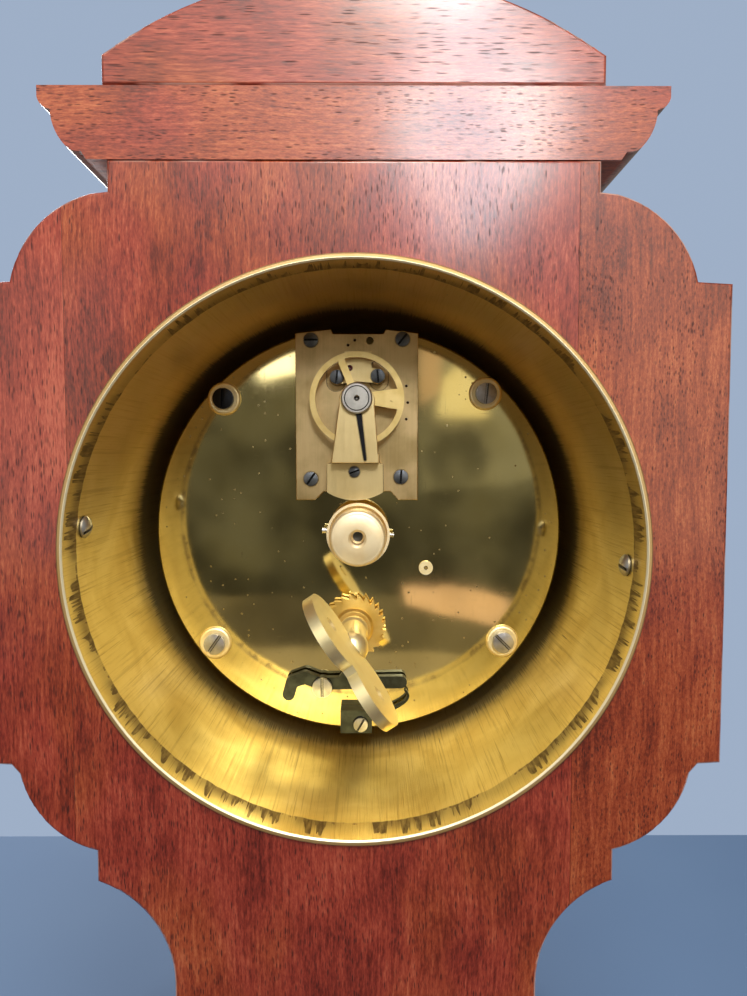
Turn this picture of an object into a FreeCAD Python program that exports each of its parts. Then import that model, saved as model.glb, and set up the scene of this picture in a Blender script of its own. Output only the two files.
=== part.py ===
import FreeCAD, Part

import math
import os

# Waisted mahogany mantel clock whose round eight-day movement sits in a brass drum, open at the back.
# Millimetres. +Z is up, the dial faces -Y, and the origin is the bottom centre of the feet.
# Places on the clock are given as (x, z) from the drum's axis, and h is height above the back plate.

# ---- driving dimensions ----
Z_DRUM = 164.0            # height of the drum's axis above the table
CASE_Y = 39.0             # half the depth of the boxed case
BOARD_T = 12.0            # thickness of front and back boards
TOP_Z = 62.3              # top of the boards, where the cornice starts
CORNICE_TOP = 73.6
BASE_Z = -136.0           # bottom of the boards
PLINTH_TOP = -142.0
PLINTH_BOTTOM = -156.0
FLOOR_Z = -164.0
PLINTH_X = 64.0
PLINTH_Y = 47.0
CHEEK_LEFT_X = -35.5      # glue joint of the left cheek
CHEEK_RIGHT_X = 46.0      # glue joint of the right cheek
JOINT_GAP = 0.06          # hairline of a glue joint
ARRIS = 0.5               # rounding of the case's edges

DRUM_R = 48.0             # outside radius of the brass liner
DRUM_WALL = 1.0
DRUM_REAR = 39.6
DRUM_FRONT = -38.9
BORE_R = DRUM_R + 0.1     # hole in the boards
DRUM_SCREW_Y = 30.6
SCREW_ANGLES = (4.8, 183.4)      # where the drum's two screws stand, from +X towards +Z

PLATE_R = 43.2            # radius of both movement plates
BACK_FACE = -1.1          # rear face of the back plate
PLATE_T = 1.8
FRONT_IN = -24.9          # inner face of the front plate
FRONT_OUT = FRONT_IN - PLATE_T
BACK_IN = BACK_FACE - PLATE_T
PILLARS = ((28.5, 28.1), (-26.9, 29.2), (31.0, -24.3), (-31.0, -24.0))
ESCAPE_SLOT = 38.6        # the back plate is cut away above this, behind the platform
PIVOT_R = 0.4
FIT = 0.05                # radial clearance of a running fit

# ---- wheel train: teeth and modules ----
BARREL_AT = (1.0, -20.3)
INTER_AT = (-14.4, -8.0)
CENTRE_AT = (0.0, 0.0)
ESCAPE_AT = (1.7, 33.8)
BALANCE_AT = (0.2, 27.4)
BARREL_TEETH, INTER_LEAVES = 84, 12
INTER_TEETH, CENTRE_LEAVES = 66, 12
CENTRE_TEETH, THIRD_LEAVES = 80, 10
THIRD_TEETH, FOURTH_LEAVES = 75, 10
FOURTH_TEETH, ESCAPE_LEAVES = 80, 8
CENTRE_MODULE, THIRD_MODULE, FOURTH_MODULE = 0.30, 0.28, 0.24
THIRD_BEARING = math.radians(110.0)
CANNON_TEETH, MINUTE_TEETH = 12, 36
MINUTE_LEAVES, HOUR_TEETH = 10, 40
MOTION_DISTANCE = 9.6
MOTION_BEARING = math.radians(200.0)

WHEEL_SHARE, LEAF_SHARE = 0.42, 0.36    # share of the pitch that a tooth fills
ADDENDUM, DEDENDUM = 0.62, 1.2          # in modules

# ---- platform escapement, heights above the back plate ----
PLATFORM_H = (3.6, 5.0)
PLATFORM_SCREWS = ((9.7, 39.7), (-9.1, 39.9), (9.8, 11.3), (-8.8, 11.7))
ESCAPE_COCK_SCREWS = ((4.3, 32.0), (-4.0, 32.2))
COCK_SCREW = (0.8, 12.8)
BANKING_DOTS = ((-9.9, 30.4), (-10.2, 27.0), (-9.9, 23.6), (2.1, 38.7), (0.7, 39.7))
BALANCE_R = 9.5
BALANCE_H = (8.45, 9.25)
COCK_H = (9.95, 10.8)
SPRING_R = 3.2            # outer turn of the hairspring, which ends below the staff

# ---- winding work ----
RATCHET_R, RATCHET_TEETH = 6.8, 24
RATCHET_ROOT = RATCHET_R - 1.0
RATCHET_START = math.radians(-84.0)     # the tooth that the click holds
RATCHET_H = (0.8, 2.8)
CLICK_AT = (7.8, -33.3)
BLOCK_SCREW = (-0.4, -41.0)             # screw of the click spring's block
SQUARE = 3.0
KEY_BEARING = math.radians(-124.0)      # which way the wings lie
KEY_WING = 13.6                         # axis to wing tip
KEY_H = (19.5, 38.6)

# ---- dial side ----
DIAL_Y = (-36.3, -34.8)
DIAL_R = 46.8
HOUR_BEARING = math.radians(305.0)      # clockwise from twelve: ten past ten
MINUTE_BEARING = math.radians(60.0)


# ---- helpers ----
def point(x, z, y=0.0):
    return FreeCAD.Vector(x, y, Z_DRUM + z)


def level(h):
    """Y of a height above the back plate."""
    return BACK_FACE + h


def rod(at, r, y0, y1):
    return Part.makeCylinder(r, y1 - y0, point(at[0], at[1], y0), FreeCAD.Vector(0, 1, 0))


def ring(at, r_out, r_in, y0, y1):
    return rod(at, r_out, y0, y1).cut(rod(at, r_in, y0 - 1, y1 + 1))


def block(x, y, z):
    """Box from three (low, high) pairs; z is from the drum's axis."""
    return Part.makeBox(x[1] - x[0], y[1] - y[0], z[1] - z[0], point(x[0], z[0], y[0]))


def joined(steps, place):
    """Closed wire. A step is a corner, or (via, end) for an arc; `place` makes a corner a point."""
    edges = []
    last = place(steps[0])
    for step in steps[1:] + [steps[0]]:
        if isinstance(step[0], tuple):
            end = place(step[1])
            edges.append(Part.Arc(last, place(step[0]), end).toShape())
        else:
            end = place(step)
            if last.distanceToPoint(end) < 1e-6:
                continue
            edges.append(Part.makeLine(last, end))
        last = end
    return Part.Wire(edges)


def outline(steps):
    """Closed wire in the XZ plane."""
    return joined(steps, lambda p: point(*p))


def slab(wire, y0, y1):
    """The XZ outline, filled, from y0 to y1."""
    face = Part.Face(wire)
    face.translate(FreeCAD.Vector(0, y0, 0))
    return face.extrude(FreeCAD.Vector(0, y1 - y0, 0))


def turned(at, profile):
    """Solid turned about the Y axis through `at`; corners are (r, y)."""
    face = Part.Face(joined(profile, lambda p: point(at[0] + p[0], at[1], p[1])))
    return face.revolve(point(*at), FreeCAD.Vector(0, 1, 0), 360)


def cap(r, edge_y, apex_y):
    """Spherical cap's arc from its edge at radius r to its apex, as a step of `turned`."""
    rise = apex_y - edge_y
    sphere = (r * r + rise * rise) / (2 * abs(rise))
    half = r / 2
    drop = sphere - math.sqrt(sphere * sphere - half * half)
    return (half, apex_y - math.copysign(drop, rise)), (0, apex_y)


def fuse(shapes):
    first, rest = shapes[0], list(shapes[1:])
    return first.fuse(rest).removeSplitter() if rest else first


def polar(at, r, angle):
    return at[0] + r * math.cos(angle), at[1] + r * math.sin(angle)


def bar(start, end, half, y0, y1):
    """Straight bar with rounded ends in the XZ plane."""
    dx, dz = end[0] - start[0], end[1] - start[1]
    span = math.hypot(dx, dz)
    nx, nz = -dz / span * half, dx / span * half
    corners = [
        (start[0] + nx, start[1] + nz),
        (start[0] - nx, start[1] - nz),
        (end[0] - nx, end[1] - nz),
        (end[0] + nx, end[1] + nz),
    ]
    return fuse([slab(outline(corners), y0, y1), rod(start, half, y0, y1), rod(end, half, y0, y1)])


def stroke(points, half, y0, y1):
    """Chain of bars: a bent strip of even width."""
    return fuse([bar(a, b, half, y0, y1) for a, b in zip(points, points[1:])])


def edges_at(shape, y):
    """The edges that lie in the plane at y."""
    boxes = [(edge, edge.BoundBox) for edge in shape.Edges]
    return [edge for edge, box in boxes if abs(box.YMin - y) < 1e-4 and abs(box.YMax - y) < 1e-4]


def eased(shape, y, size):
    """Chamfer the edges of the face at y."""
    return shape.makeChamfer(size, edges_at(shape, y))


def rounded(shape, y, size):
    """Round the edges of the face at y."""
    return shape.makeFillet(size, edges_at(shape, y))


def save(name, *shapes):
    solids = [solid for shape in shapes for solid in shape.Solids]
    for solid in solids:
        if not solid.isValid():
            raise ValueError(name + " holds a solid that is not valid")
    Part.makeCompound(solids).exportStep("parts/" + name + ".step")


def screw(at, seat, head_r, head_h, shank_r, shank_l, slot_deg, dome=0.16):
    """Slotted screw with its head outside `seat` and its shank going forward, towards -Y."""
    top = seat + head_h
    edge = top - dome * head_h
    profile = [
        (0, seat - shank_l),
        (shank_r, seat - shank_l),
        (shank_r, seat),
        (head_r, seat),
        (head_r, edge),
        cap(head_r, edge, top),
    ]
    body = turned(at, profile)
    half_slot = head_r * 0.15
    slot = block(
        (at[0] - head_r - 1, at[0] + head_r + 1),
        (top - head_h * 0.62, top + 1),
        (at[1] - half_slot, at[1] + half_slot),
    )
    slot.rotate(point(*at), FreeCAD.Vector(0, 1, 0), slot_deg)
    return body.cut(slot)


def toothed(at, teeth, module, share, y0, y1, phase):
    """Gear blank with planar tooth flanks; one tooth's centre lies at angle `phase`."""
    r = module * teeth / 2
    steps = (
        (r - DEDENDUM * module, -1.25), (r, -1.0), (r + ADDENDUM * module, -0.42),
        (r + ADDENDUM * module, 0.42), (r, 1.0), (r - DEDENDUM * module, 1.25),
    )
    half = share * math.pi / teeth
    corners = []
    for i in range(teeth):
        centre = phase + 2 * math.pi * i / teeth
        corners += [polar(at, radius, centre + side * half) for radius, side in steps]
    return slab(Part.makePolygon([point(*c) for c in corners + corners[:1]]), y0, y1)


def mesh_phase(a, a_teeth, a_phase, b, b_teeth):
    """Tooth angle of gear b so that it meshes with gear a."""
    theta = math.atan2(b[1] - a[1], b[0] - a[0])
    return theta + math.pi + (math.pi - (a_phase - theta) * a_teeth) / b_teeth


def crossed(wheel, at, hub_r, rim_r, spokes, width, y0, y1):
    """Cut the windows between a wheel's spokes."""
    window = ring(at, rim_r, hub_r, y0 - 1, y1 + 1)
    arms = []
    for i in range(spokes):
        arm = block((at[0], at[0] + rim_r + 1), (y0 - 2, y1 + 2), (at[1] - width / 2, at[1] + width / 2))
        arm.rotate(point(*at), FreeCAD.Vector(0, 1, 0), 360.0 * i / spokes)
        arms.append(arm)
    return wheel.cut(window.cut(fuse(arms)))


def wheel(at, teeth, module, y0, y1, phase, bore, spokes):
    blank = toothed(at, teeth, module, WHEEL_SHARE, y0, y1, phase)
    r = module * teeth / 2
    cut = crossed(blank, at, bore + 1.6, r - 2.6 * module - 0.8, spokes, 1.1, y0, y1)
    return cut.cut(rod(at, bore, y0 - 1, y1 + 1))


def coil(at, r0, r1, turns, thick, y0, y1):
    """Flat spiral spring of even thickness."""
    def side(offset):
        spots = []
        count = int(turns * 12)
        for i in range(count + 1):
            share = i / count
            radius = r0 + (r1 - r0) * share + offset
            spots.append(point(*polar(at, radius, share * turns * 2 * math.pi)))
        curve = Part.BSplineCurve()
        curve.interpolate(spots)
        return curve.toShape(), spots

    inner, a = side(-thick / 2)
    outer, b = side(thick / 2)
    ends = [Part.makeLine(a[-1], b[-1]), Part.makeLine(b[0], a[0])]
    return slab(Part.Wire(Part.__sortEdges__([inner, outer] + ends)), y0, y1)


# ---- case ----
SHOULDER = [
    (38.8, TOP_Z), (38.8, 57.5), (41.5, 57.2), ((49.9, 52.3), (54.5, 43.6)), (60.0, 43.3),
    (60.0, -34.3), (56.3, -34.5), (55.0, -36.0), ((50.3, -44.7), (42.6, -49.0)), (42.6, -54.2),
    ((34.0, -60.4), (30.1, -71.8)), (30.1, -84.0), ((34.9, -111.6), (48.5, BASE_Z)),
]


def mirrored(steps):
    """The same half outline on the other side, walked backwards."""
    ends = [step[1] if isinstance(step[0], tuple) else step for step in steps]
    back = []
    for i in range(len(steps) - 1, -1, -1):
        if i == len(steps) - 1:
            back.append((-ends[i][0], ends[i][1]))
        following = steps[i]
        if i == 0:
            break
        target = (-ends[i - 1][0], ends[i - 1][1])
        if isinstance(following[0], tuple):
            back.append(((-following[0][0], following[0][1]), target))
        else:
            back.append(target)
    return back


def silhouette():
    return outline(SHOULDER + mirrored(SHOULDER))


def shifted_profile(profile, factor, base):
    """Moulding profile for another face: its projection beyond `base` is scaled."""
    def move(p):
        return base + (p[0] - profile[-1][0]) * factor, p[1]
    return [(move(s[0]), move(s[1])) if isinstance(s[0], tuple) else move(s) for s in profile]


def moulded(profile, back_y, front_factor, front_base, symmetric):
    """Moulding mitred round the ends and front; flat at the back unless symmetric."""
    side = slab(outline(profile + mirrored(profile)), -90, 90)
    run = shifted_profile(profile, front_factor, front_base)
    if symmetric:
        depth = outline(run + mirrored(run))
    else:
        bottom, top = profile[-1][1], profile[0][1]
        depth = outline(run + [(-back_y, bottom), (-back_y, top)])
    front = slab(depth, -90, 90)
    front.rotate(point(0, 0), FreeCAD.Vector(0, 0, 1), -90)
    return side.common(front)


def boards():
    shape = silhouette()
    bore = rod((0, 0), BORE_R, -60, 60)
    back = rounded(slab(shape, CASE_Y - BOARD_T, CASE_Y), CASE_Y, ARRIS).cut(bore)
    for angle in SCREW_ANGLES:
        back = back.cut(radial(rod((0, 0), 1.2, 0, 9), angle))
    far = (CASE_Y - BOARD_T - 1, CASE_Y + 1)
    half = JOINT_GAP / 2
    tall = (BASE_Z - 1, TOP_Z + 1)
    save("back_board", back.common(block((CHEEK_LEFT_X + half, CHEEK_RIGHT_X - half), far, tall)))
    save("back_cheek_left", back.common(block((-90, CHEEK_LEFT_X - half), far, tall)))
    save("back_cheek_right", back.common(block((CHEEK_RIGHT_X + half, 90), far, tall)))
    front = rounded(slab(shape, -CASE_Y, -CASE_Y + BOARD_T), -CASE_Y, ARRIS).cut(bore)
    inlay = stringing(shape)
    save("stringing_inlay", inlay)
    save("front_board", front.cut(inlay))


def stringing(shape):
    """Boxwood line let into the front, a set distance in from the edge."""
    inset, width, deep = 4.0, 1.0, 0.8
    outer = shape.makeOffset2D(-inset)
    inner = shape.makeOffset2D(-inset - width)
    return slab(outer, -CASE_Y, -CASE_Y + deep).cut(slab(inner, -CASE_Y - 1, -CASE_Y + deep + 1))


def carcase():
    """Solid blocks between the boards, bored for the drum."""
    inner = CASE_Y - BOARD_T
    solid = slab(silhouette(), -inner, inner).cut(rod((0, 0), BORE_R + 0.5, -60, 60))
    deep = (-inner - 1, inner + 1)
    split = 30.0
    half = JOINT_GAP / 2
    save("carcase_top_block", solid.common(block((-90, 90), deep, (split + half, 90))))
    save("carcase_side_left", solid.common(block((-90, 0), deep, (-split + half, split - half))))
    save("carcase_side_right", solid.common(block((0, 90), deep, (-split + half, split - half))))
    save("carcase_waist_block", solid.common(block((-90, 90), deep, (BASE_Z - 1, -split - half))))


def cornice():
    profile = [
        (49.4, CORNICE_TOP), (49.4, 71.9), ((48.7, 70.6), (47.4, 70.0)), ((46.7, 66.8), (45.2, 64.5)),
        ((44.2, 63.8), (42.7, 63.6)), (41.9, TOP_Z + JOINT_GAP),
    ]
    save("cornice", moulded(profile, CASE_Y, 0.7, CASE_Y + 2.2, False))


def pediment():
    half, shoulder, crown = 39.3, 78.3, 90.8
    foot = CORNICE_TOP + JOINT_GAP
    shape = outline([(half, foot), (half, shoulder), ((0, crown), (-half, shoulder)), (-half, foot)])
    front = -CASE_Y + 3.0
    save("pediment", rounded(rounded(slab(shape, front, CASE_Y), CASE_Y, ARRIS), front, ARRIS))


def base():
    profile = [(50.5, BASE_Z), (50.5, BASE_Z - 1.2), ((53.2, BASE_Z - 4.2), (58.5, BASE_Z - 5.0)),
               (58.5, PLINTH_TOP)]
    save("base_moulding", moulded(profile, 0, 0.55, CASE_Y + 5.5, True))
    step = 1.2
    low = [(PLINTH_X - step, PLINTH_TOP), ((PLINTH_X - 0.35, PLINTH_TOP - 0.35), (PLINTH_X, PLINTH_TOP - step)),
           (PLINTH_X, PLINTH_BOTTOM)]
    save("plinth", moulded(low, 0, 1.0, PLINTH_Y, True))


def feet():
    shapes = []
    for x in (-52.0, 52.0):
        for y in (-35.0, 35.0):
            foot = turned((0, 0), [(0, 0), (6.0, 0), ((9.0, 3.6), (7.0, 7.0)), (7.0, 8.0), (0, 8.0)])
            foot.rotate(point(0, 0), FreeCAD.Vector(1, 0, 0), 90)
            foot.translate(FreeCAD.Vector(x, y, FLOOR_Z))
            shapes.append(foot)
    save("feet", *shapes)


# ---- drum, bezel and dial ----
def radial(shape, angle):
    """Stand a shape made along +Y from the drum's axis on the inside of the wall, shank outwards."""
    done = shape.copy()
    done.rotate(point(0, 0), FreeCAD.Vector(0, 0, 1), -90)
    done.translate(FreeCAD.Vector(DRUM_R - DRUM_WALL, 0, 0))
    done.rotate(point(0, 0), FreeCAD.Vector(0, 1, 0), -angle)
    done.translate(FreeCAD.Vector(0, DRUM_SCREW_Y, 0))
    return done


def drum():
    inside, lip = DRUM_R - DRUM_WALL, 0.25
    tube = turned((0, 0), [
        (inside, DRUM_FRONT), (DRUM_R, DRUM_FRONT), (DRUM_R, DRUM_REAR - lip), (DRUM_R - lip, DRUM_REAR),
        (inside + lip, DRUM_REAR), (inside, DRUM_REAR - lip),
    ])
    screws = []
    for angle in SCREW_ANGLES:
        tube = tube.cut(radial(rod((0, 0), 1.2, -1, 9), angle))
        round_head = screw((0, 0), 0, 1.9, 1.4, 1.15, 7.5, 35 if angle < 90 else -20, dome=0.7)
        round_head.rotate(point(0, 0), FreeCAD.Vector(1, 0, 0), 180)
        round_head.translate(FreeCAD.Vector(0, -0.06, 0))
        screws.append(radial(round_head, angle))
    save("drum_liner", tube)
    save("drum_screws", *screws)


def bezel_and_glass():
    profile = [
        (44.3, -36.35), (46.8, -36.35), (46.8, -39.02), (52.5, -39.02), (52.5, -40.2),
        ((51.0, -42.6), (47.6, -43.6)), (45.0, -43.2), (45.0, -42.25), (45.6, -42.25), (45.6, -40.95),
        (44.3, -40.95),
    ]
    save("bezel", turned((0, 0), profile))
    edge_r, front, rear, thick = 44.0, -42.15, -41.05, 1.1
    crown = -46.2
    outside = cap(edge_r, front, crown)
    glass = [(0, crown + thick), (0, crown), (outside[0], (edge_r, front)), (45.5, front), (45.5, rear),
             (edge_r, rear), cap(edge_r, rear, crown + thick)]
    save("dial_glass", turned((0, 0), glass))


def dial():
    save("dial", ring((0, 0), DIAL_R, 3.0, *DIAL_Y))


def movement_ring():
    """Ring soldered in the drum, with three posts that carry the front plate."""
    ring_y = (-34.75, -33.3)
    parts = [ring((0, 0), DRUM_R - DRUM_WALL, 39.4, *ring_y)]
    for angle in (90, 210, 330):
        parts.append(rod(polar((0, 0), 41.2, math.radians(angle)), 1.7, ring_y[1] - 0.5, FRONT_OUT))
    save("movement_ring", fuse(parts))


def hand(bearing, length, tail, y0, y1, bore, boss):
    """Spade hand pointing `bearing` clockwise from twelve."""
    tip = [
        (0.45, boss * 0.7), (0.45, length * 0.62), ((2.1, length * 0.70), (0.75, length * 0.80)),
        (0.2, length), (-0.2, length), (-0.75, length * 0.80),
        ((-2.1, length * 0.70), (-0.45, length * 0.62)), (-0.45, boss * 0.7),
    ]
    blade = slab(outline(tip), y0, y1)
    shape = fuse([blade, rod((0, 0), boss, y0, y1), bar((0, 0), (0, -tail), 0.7, y0, y1)])
    shape.rotate(point(0, 0), FreeCAD.Vector(0, 1, 0), math.degrees(bearing))
    return shape.cut(rod((0, 0), bore, y0 - 1, y1 + 1))


# ---- movement frame ----
def plates():
    back = turned((0, 0), [(0, BACK_IN), (PLATE_R, BACK_IN), (PLATE_R, BACK_FACE - 0.35),
                           (PLATE_R - 0.35, BACK_FACE), (0, BACK_FACE)])
    front = rod((0, 0), PLATE_R, FRONT_OUT, FRONT_IN)
    back_holes = [(BARREL_AT, 2.3 + FIT), (INTER_AT, 1.5), (CENTRE_AT, 1.6 + FIT), (THIRD_AT, PIVOT_R + FIT),
                  (FOURTH_AT, PIVOT_R + FIT), (ESCAPE_AT, 1.35)]
    back_holes += [(at, 1.2) for at in PILLARS] + [(at, 0.85) for at in PLATFORM_SCREWS]
    front_holes = [(BARREL_AT, 1.6 + FIT), (INTER_AT, PIVOT_R + FIT), (CENTRE_AT, 1.6 + FIT),
                   (THIRD_AT, PIVOT_R + FIT), (FOURTH_AT, PIVOT_R + FIT)]
    front_holes += [(at, 2.0) for at in PILLARS]
    back = back.cut(block((-6.0, 6.0), (BACK_IN - 1, BACK_FACE + 1), (ESCAPE_SLOT, PLATE_R + 1)))
    for at, r in back_holes:
        back = back.cut(rod(at, r, BACK_IN - 1, BACK_FACE + 1))
    for at in (CLICK_AT, BLOCK_SCREW):
        back = back.cut(rod(at, 0.95, level(-1.4), level(1)))
    for at, r in front_holes:
        front = front.cut(rod(at, r, FRONT_OUT - 1, FRONT_IN + 1))
    save("back_plate", back)
    save("front_plate", front)
    save("train_bush", ring(INTER_AT, 1.5, PIVOT_R + FIT, BACK_IN, level(0.45)))


def pillars():
    posts, washers, screws = [], [], []
    for at, turn in zip(PILLARS, (90, 84, 55, -45)):
        post = turned(at, [
            (0, FRONT_OUT), (2.0, FRONT_OUT), (2.0, FRONT_IN), (3.2, FRONT_IN), (3.2, FRONT_IN + 2.0),
            ((2.2, -20.6), (2.0, -13.9)), ((2.2, -7.2), (3.2, BACK_IN - 2.0)), (3.2, BACK_IN), (0, BACK_IN),
        ])
        posts.append(post.cut(rod(at, 1.15, BACK_IN - 6.5, BACK_IN + 1)))
        washers.append(turned(at, [(1.3, level(0)), (3.5, level(0)), ((3.4, level(0.55)), (2.7, level(0.8))),
                                   (1.3, level(0.8))]))
        screws.append(screw(at, level(0.8), 2.2, 1.3, 1.1, 8.6, turn))
    save("pillars", *posts)
    save("pillar_washers", *washers)
    save("pillar_screws", *screws)


# ---- going train ----
def train_positions():
    """Third and fourth arbors, from the centre distances of their gear pairs."""
    third = polar(CENTRE_AT, CENTRE_MODULE * (CENTRE_TEETH + THIRD_LEAVES) / 2, THIRD_BEARING)
    reach = THIRD_MODULE * (THIRD_TEETH + FOURTH_LEAVES) / 2
    last = FOURTH_MODULE * (FOURTH_TEETH + ESCAPE_LEAVES) / 2
    dx, dz = ESCAPE_AT[0] - third[0], ESCAPE_AT[1] - third[1]
    span = math.hypot(dx, dz)
    along = (span * span + reach * reach - last * last) / (2 * span)
    aside = math.sqrt(reach * reach - along * along)
    fourth = (third[0] + (dx * along - dz * aside) / span, third[1] + (dz * along + dx * aside) / span)
    return third, fourth


THIRD_AT, FOURTH_AT = train_positions()
MINUTE_AT = polar(CENTRE_AT, MOTION_DISTANCE, MOTION_BEARING)


def module_of(a, b, a_teeth, b_teeth):
    return 2 * math.hypot(a[0] - b[0], a[1] - b[1]) / (a_teeth + b_teeth)


def pivoted(at, body_r, pinion, rear=BACK_FACE, front=FRONT_OUT + 0.2):
    """Plain arbor with a pivot at each plate."""
    inside = 0.35
    steps = [(PIVOT_R, front, FRONT_IN + inside), (body_r, FRONT_IN + inside, BACK_IN - inside),
             (PIVOT_R, BACK_IN - inside, rear)]
    profile = [(0, front)]
    for r, y0, y1 in steps:
        profile += [(r, y0), (r, y1)]
    profile.append((0, rear))
    return fuse([turned(at, profile), pinion])


def barrel():
    module = module_of(BARREL_AT, INTER_AT, BARREL_TEETH, INTER_LEAVES)
    rim_y, front_y = (-11.0, -9.4), -23.6
    shell = turned(BARREL_AT, [
        (2.5 + FIT, -9.4), (15.6, -9.4), (15.6, front_y), (14.8, front_y), (14.8, -10.4), (2.5 + FIT, -10.4),
    ])
    teeth = toothed(BARREL_AT, BARREL_TEETH, module, WHEEL_SHARE, *rim_y, BARREL_PHASE)
    teeth = teeth.cut(rod(BARREL_AT, 15.2, -12, -8))
    save("barrel", fuse([shell, teeth]))
    save("barrel_cover", ring(BARREL_AT, 14.78, 2.5 + FIT, front_y, front_y + 1.0))
    save("mainspring", coil(BARREL_AT, 4.3, 14.2, 9, 0.4, -21.6, -11.4))


def barrel_arbor():
    body = turned(BARREL_AT, [
        (0, -27.0), (1.6, -27.0), (1.6, -24.2), (2.5, -24.2), (2.5, -22.3), (3.6, -22.3), (3.6, -10.8),
        (2.5, -10.8), (2.5, -4.0), (2.3, -4.0), (2.3, level(0.6)), (0, level(0.6)),
    ])
    side = SQUARE / 2
    x, z = BARREL_AT
    spindle = block((x - side, x + side), (level(0.3), level(18.5)), (z - side, z + side))
    spindle.rotate(point(*BARREL_AT), FreeCAD.Vector(0, 1, 0), -math.degrees(KEY_BEARING))
    save("barrel_arbor", fuse([body, spindle]))


def square_hole(y0, y1):
    side = SQUARE / 2 + 0.04
    x, z = BARREL_AT
    hole = block((x - side, x + side), (y0, y1), (z - side, z + side))
    hole.rotate(point(*BARREL_AT), FreeCAD.Vector(0, 1, 0), -math.degrees(KEY_BEARING))
    return hole


def ratchet():
    corners = []
    for i in range(RATCHET_TEETH):
        angle = RATCHET_START + 2 * math.pi * i / RATCHET_TEETH
        corners += [polar(BARREL_AT, RATCHET_ROOT, angle), polar(BARREL_AT, RATCHET_R, angle),
                    polar(BARREL_AT, RATCHET_R - 0.1, angle + math.radians(2.2))]
    y0, y1 = level(RATCHET_H[0]), level(RATCHET_H[1])
    saw = slab(Part.makePolygon([point(*c) for c in corners + corners[:1]]), y0, y1)
    boss = turned(BARREL_AT, [(0, y1), (4.1, y1), (4.1, y1 + 0.5), (3.6, y1 + 1.0), (0, y1 + 1.0)])
    save("ratchet_wheel", fuse([saw, boss]).cut(square_hole(y0 - 1, y1 + 3)))


def key():
    """Winding key: a pipe on the square and a pierced double-wing bow, thick in the middle."""
    ux, uz = math.cos(KEY_BEARING), math.sin(KEY_BEARING)
    pipe = turned(BARREL_AT, [
        (0, level(5.2)), (3.0, level(5.2)), (3.0, level(6.6)), (2.6, level(7.2)), (2.6, level(18.2)),
        (3.1, level(18.8)), (3.1, level(20.2)), cap(3.1, level(20.2), level(22.6)),
    ])
    pipe = pipe.cut(square_hole(level(5), level(18.6)))
    mid = (KEY_H[0] + KEY_H[1]) / 2
    half_h = (KEY_H[1] - KEY_H[0]) / 2
    slim = 0.78                     # a wing's width over its height
    squeeze = FreeCAD.Matrix()
    squeeze.scale(FreeCAD.Vector(slim, 1, 1))
    wings = []
    for side in (-1, 1):
        lobe = Part.makeCylinder(half_h, 2.0, FreeCAD.Vector(0, -1.0, 0), FreeCAD.Vector(0, 1, 0))
        lobe = lobe.transformGeometry(squeeze)
        lobe.translate(FreeCAD.Vector(side * (KEY_WING - half_h * slim), 0, 0))
        hole_at = FreeCAD.Vector(side * KEY_WING * 0.55, -2.0, 0.6)
        hole = Part.makeCylinder(1.5, 4.0, hole_at, FreeCAD.Vector(0, 1, 0))
        wings.append(lobe.cut(hole))
    web = Part.makeBox(8.0, 2.0, 15.4, FreeCAD.Vector(-4.0, -1.0, -half_h + 0.6))
    bow = fuse(wings + [web])
    # the bow is drawn upright in XZ: turn it so that up becomes +Y and sideways the wings' bearing
    placed = FreeCAD.Matrix(ux, -uz, 0, BARREL_AT[0], 0, 0, 1, level(mid), uz, ux, 0, Z_DRUM + BARREL_AT[1])
    bow = bow.transformShape(placed)
    save("winding_key", fuse([pipe, bow]))


def click_work():
    y0, y1 = level(RATCHET_H[0]), level(RATCHET_H[1] - 0.2)
    tip = polar(BARREL_AT, RATCHET_ROOT + 0.35, RATCHET_START - math.radians(1.6))
    heel = polar(BARREL_AT, RATCHET_R + 0.2, RATCHET_START - math.radians(10.0))
    beak = slab(outline([tip, heel, (-2.4, -31.6), (4.6, -31.6), (1.55, -27.8)]), y0, y1)
    lever = stroke([(15.0, -34.9), (14.3, -32.3), (11.5, -31.3), (8.2, -32.6), (-9.0, -32.3)], 1.3, y0, y1)
    eye = rod(CLICK_AT, 2.2, y0, y1)
    click = fuse([lever, beak, eye]).cut(rod(CLICK_AT, 1.0 + FIT, y0 - 1, y1 + 1))
    save("click", click)
    pivot = screw(CLICK_AT, y1 + 0.1, 2.1, 0.9, 0.9, y1 + 0.1 - level(-1.3), 90)
    shoulder = rod(CLICK_AT, 1.0, level(0.0), y1 + 0.1)
    block_top = level(3.6)
    holder = screw(BLOCK_SCREW, block_top, 1.5, 0.9, 0.9, 3.6 + 1.3, 60)
    save("click_screws", fuse([pivot, shoulder]), holder)
    blade = stroke([(-2.6, -39.4), (-6.4, -38.6), (-9.6, -36.9), (-10.6, -35.4), (-9.9, -34.05)], 0.32,
                   level(0.8), level(2.4))
    save("click_spring", blade)
    stone = block((-2.8, 3.9), (level(0), block_top), (-43.0, -38.1))
    stone = stone.common(rod((0, 0), PLATE_R + 0.15, level(-1), level(9)))
    save("spring_block", stone.cut(rod(BLOCK_SCREW, 0.95, level(-1), level(9))).cut(blade))


def posts_and_brackets():
    """Small brass pieces that hold others off the plates."""
    posts = [ring(at, 1.9, 0.85, level(0), level(PLATFORM_H[0])) for at in PLATFORM_SCREWS]
    click_spacer = ring(CLICK_AT, 1.8, 1.0 + FIT, level(0), level(0.7))
    minute_stud = rod(MINUTE_AT, 0.6, -32.9, FRONT_OUT)
    save("posts_and_brackets", *posts, chariot(), escape_bracket(), click_spacer, minute_stud)


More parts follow.
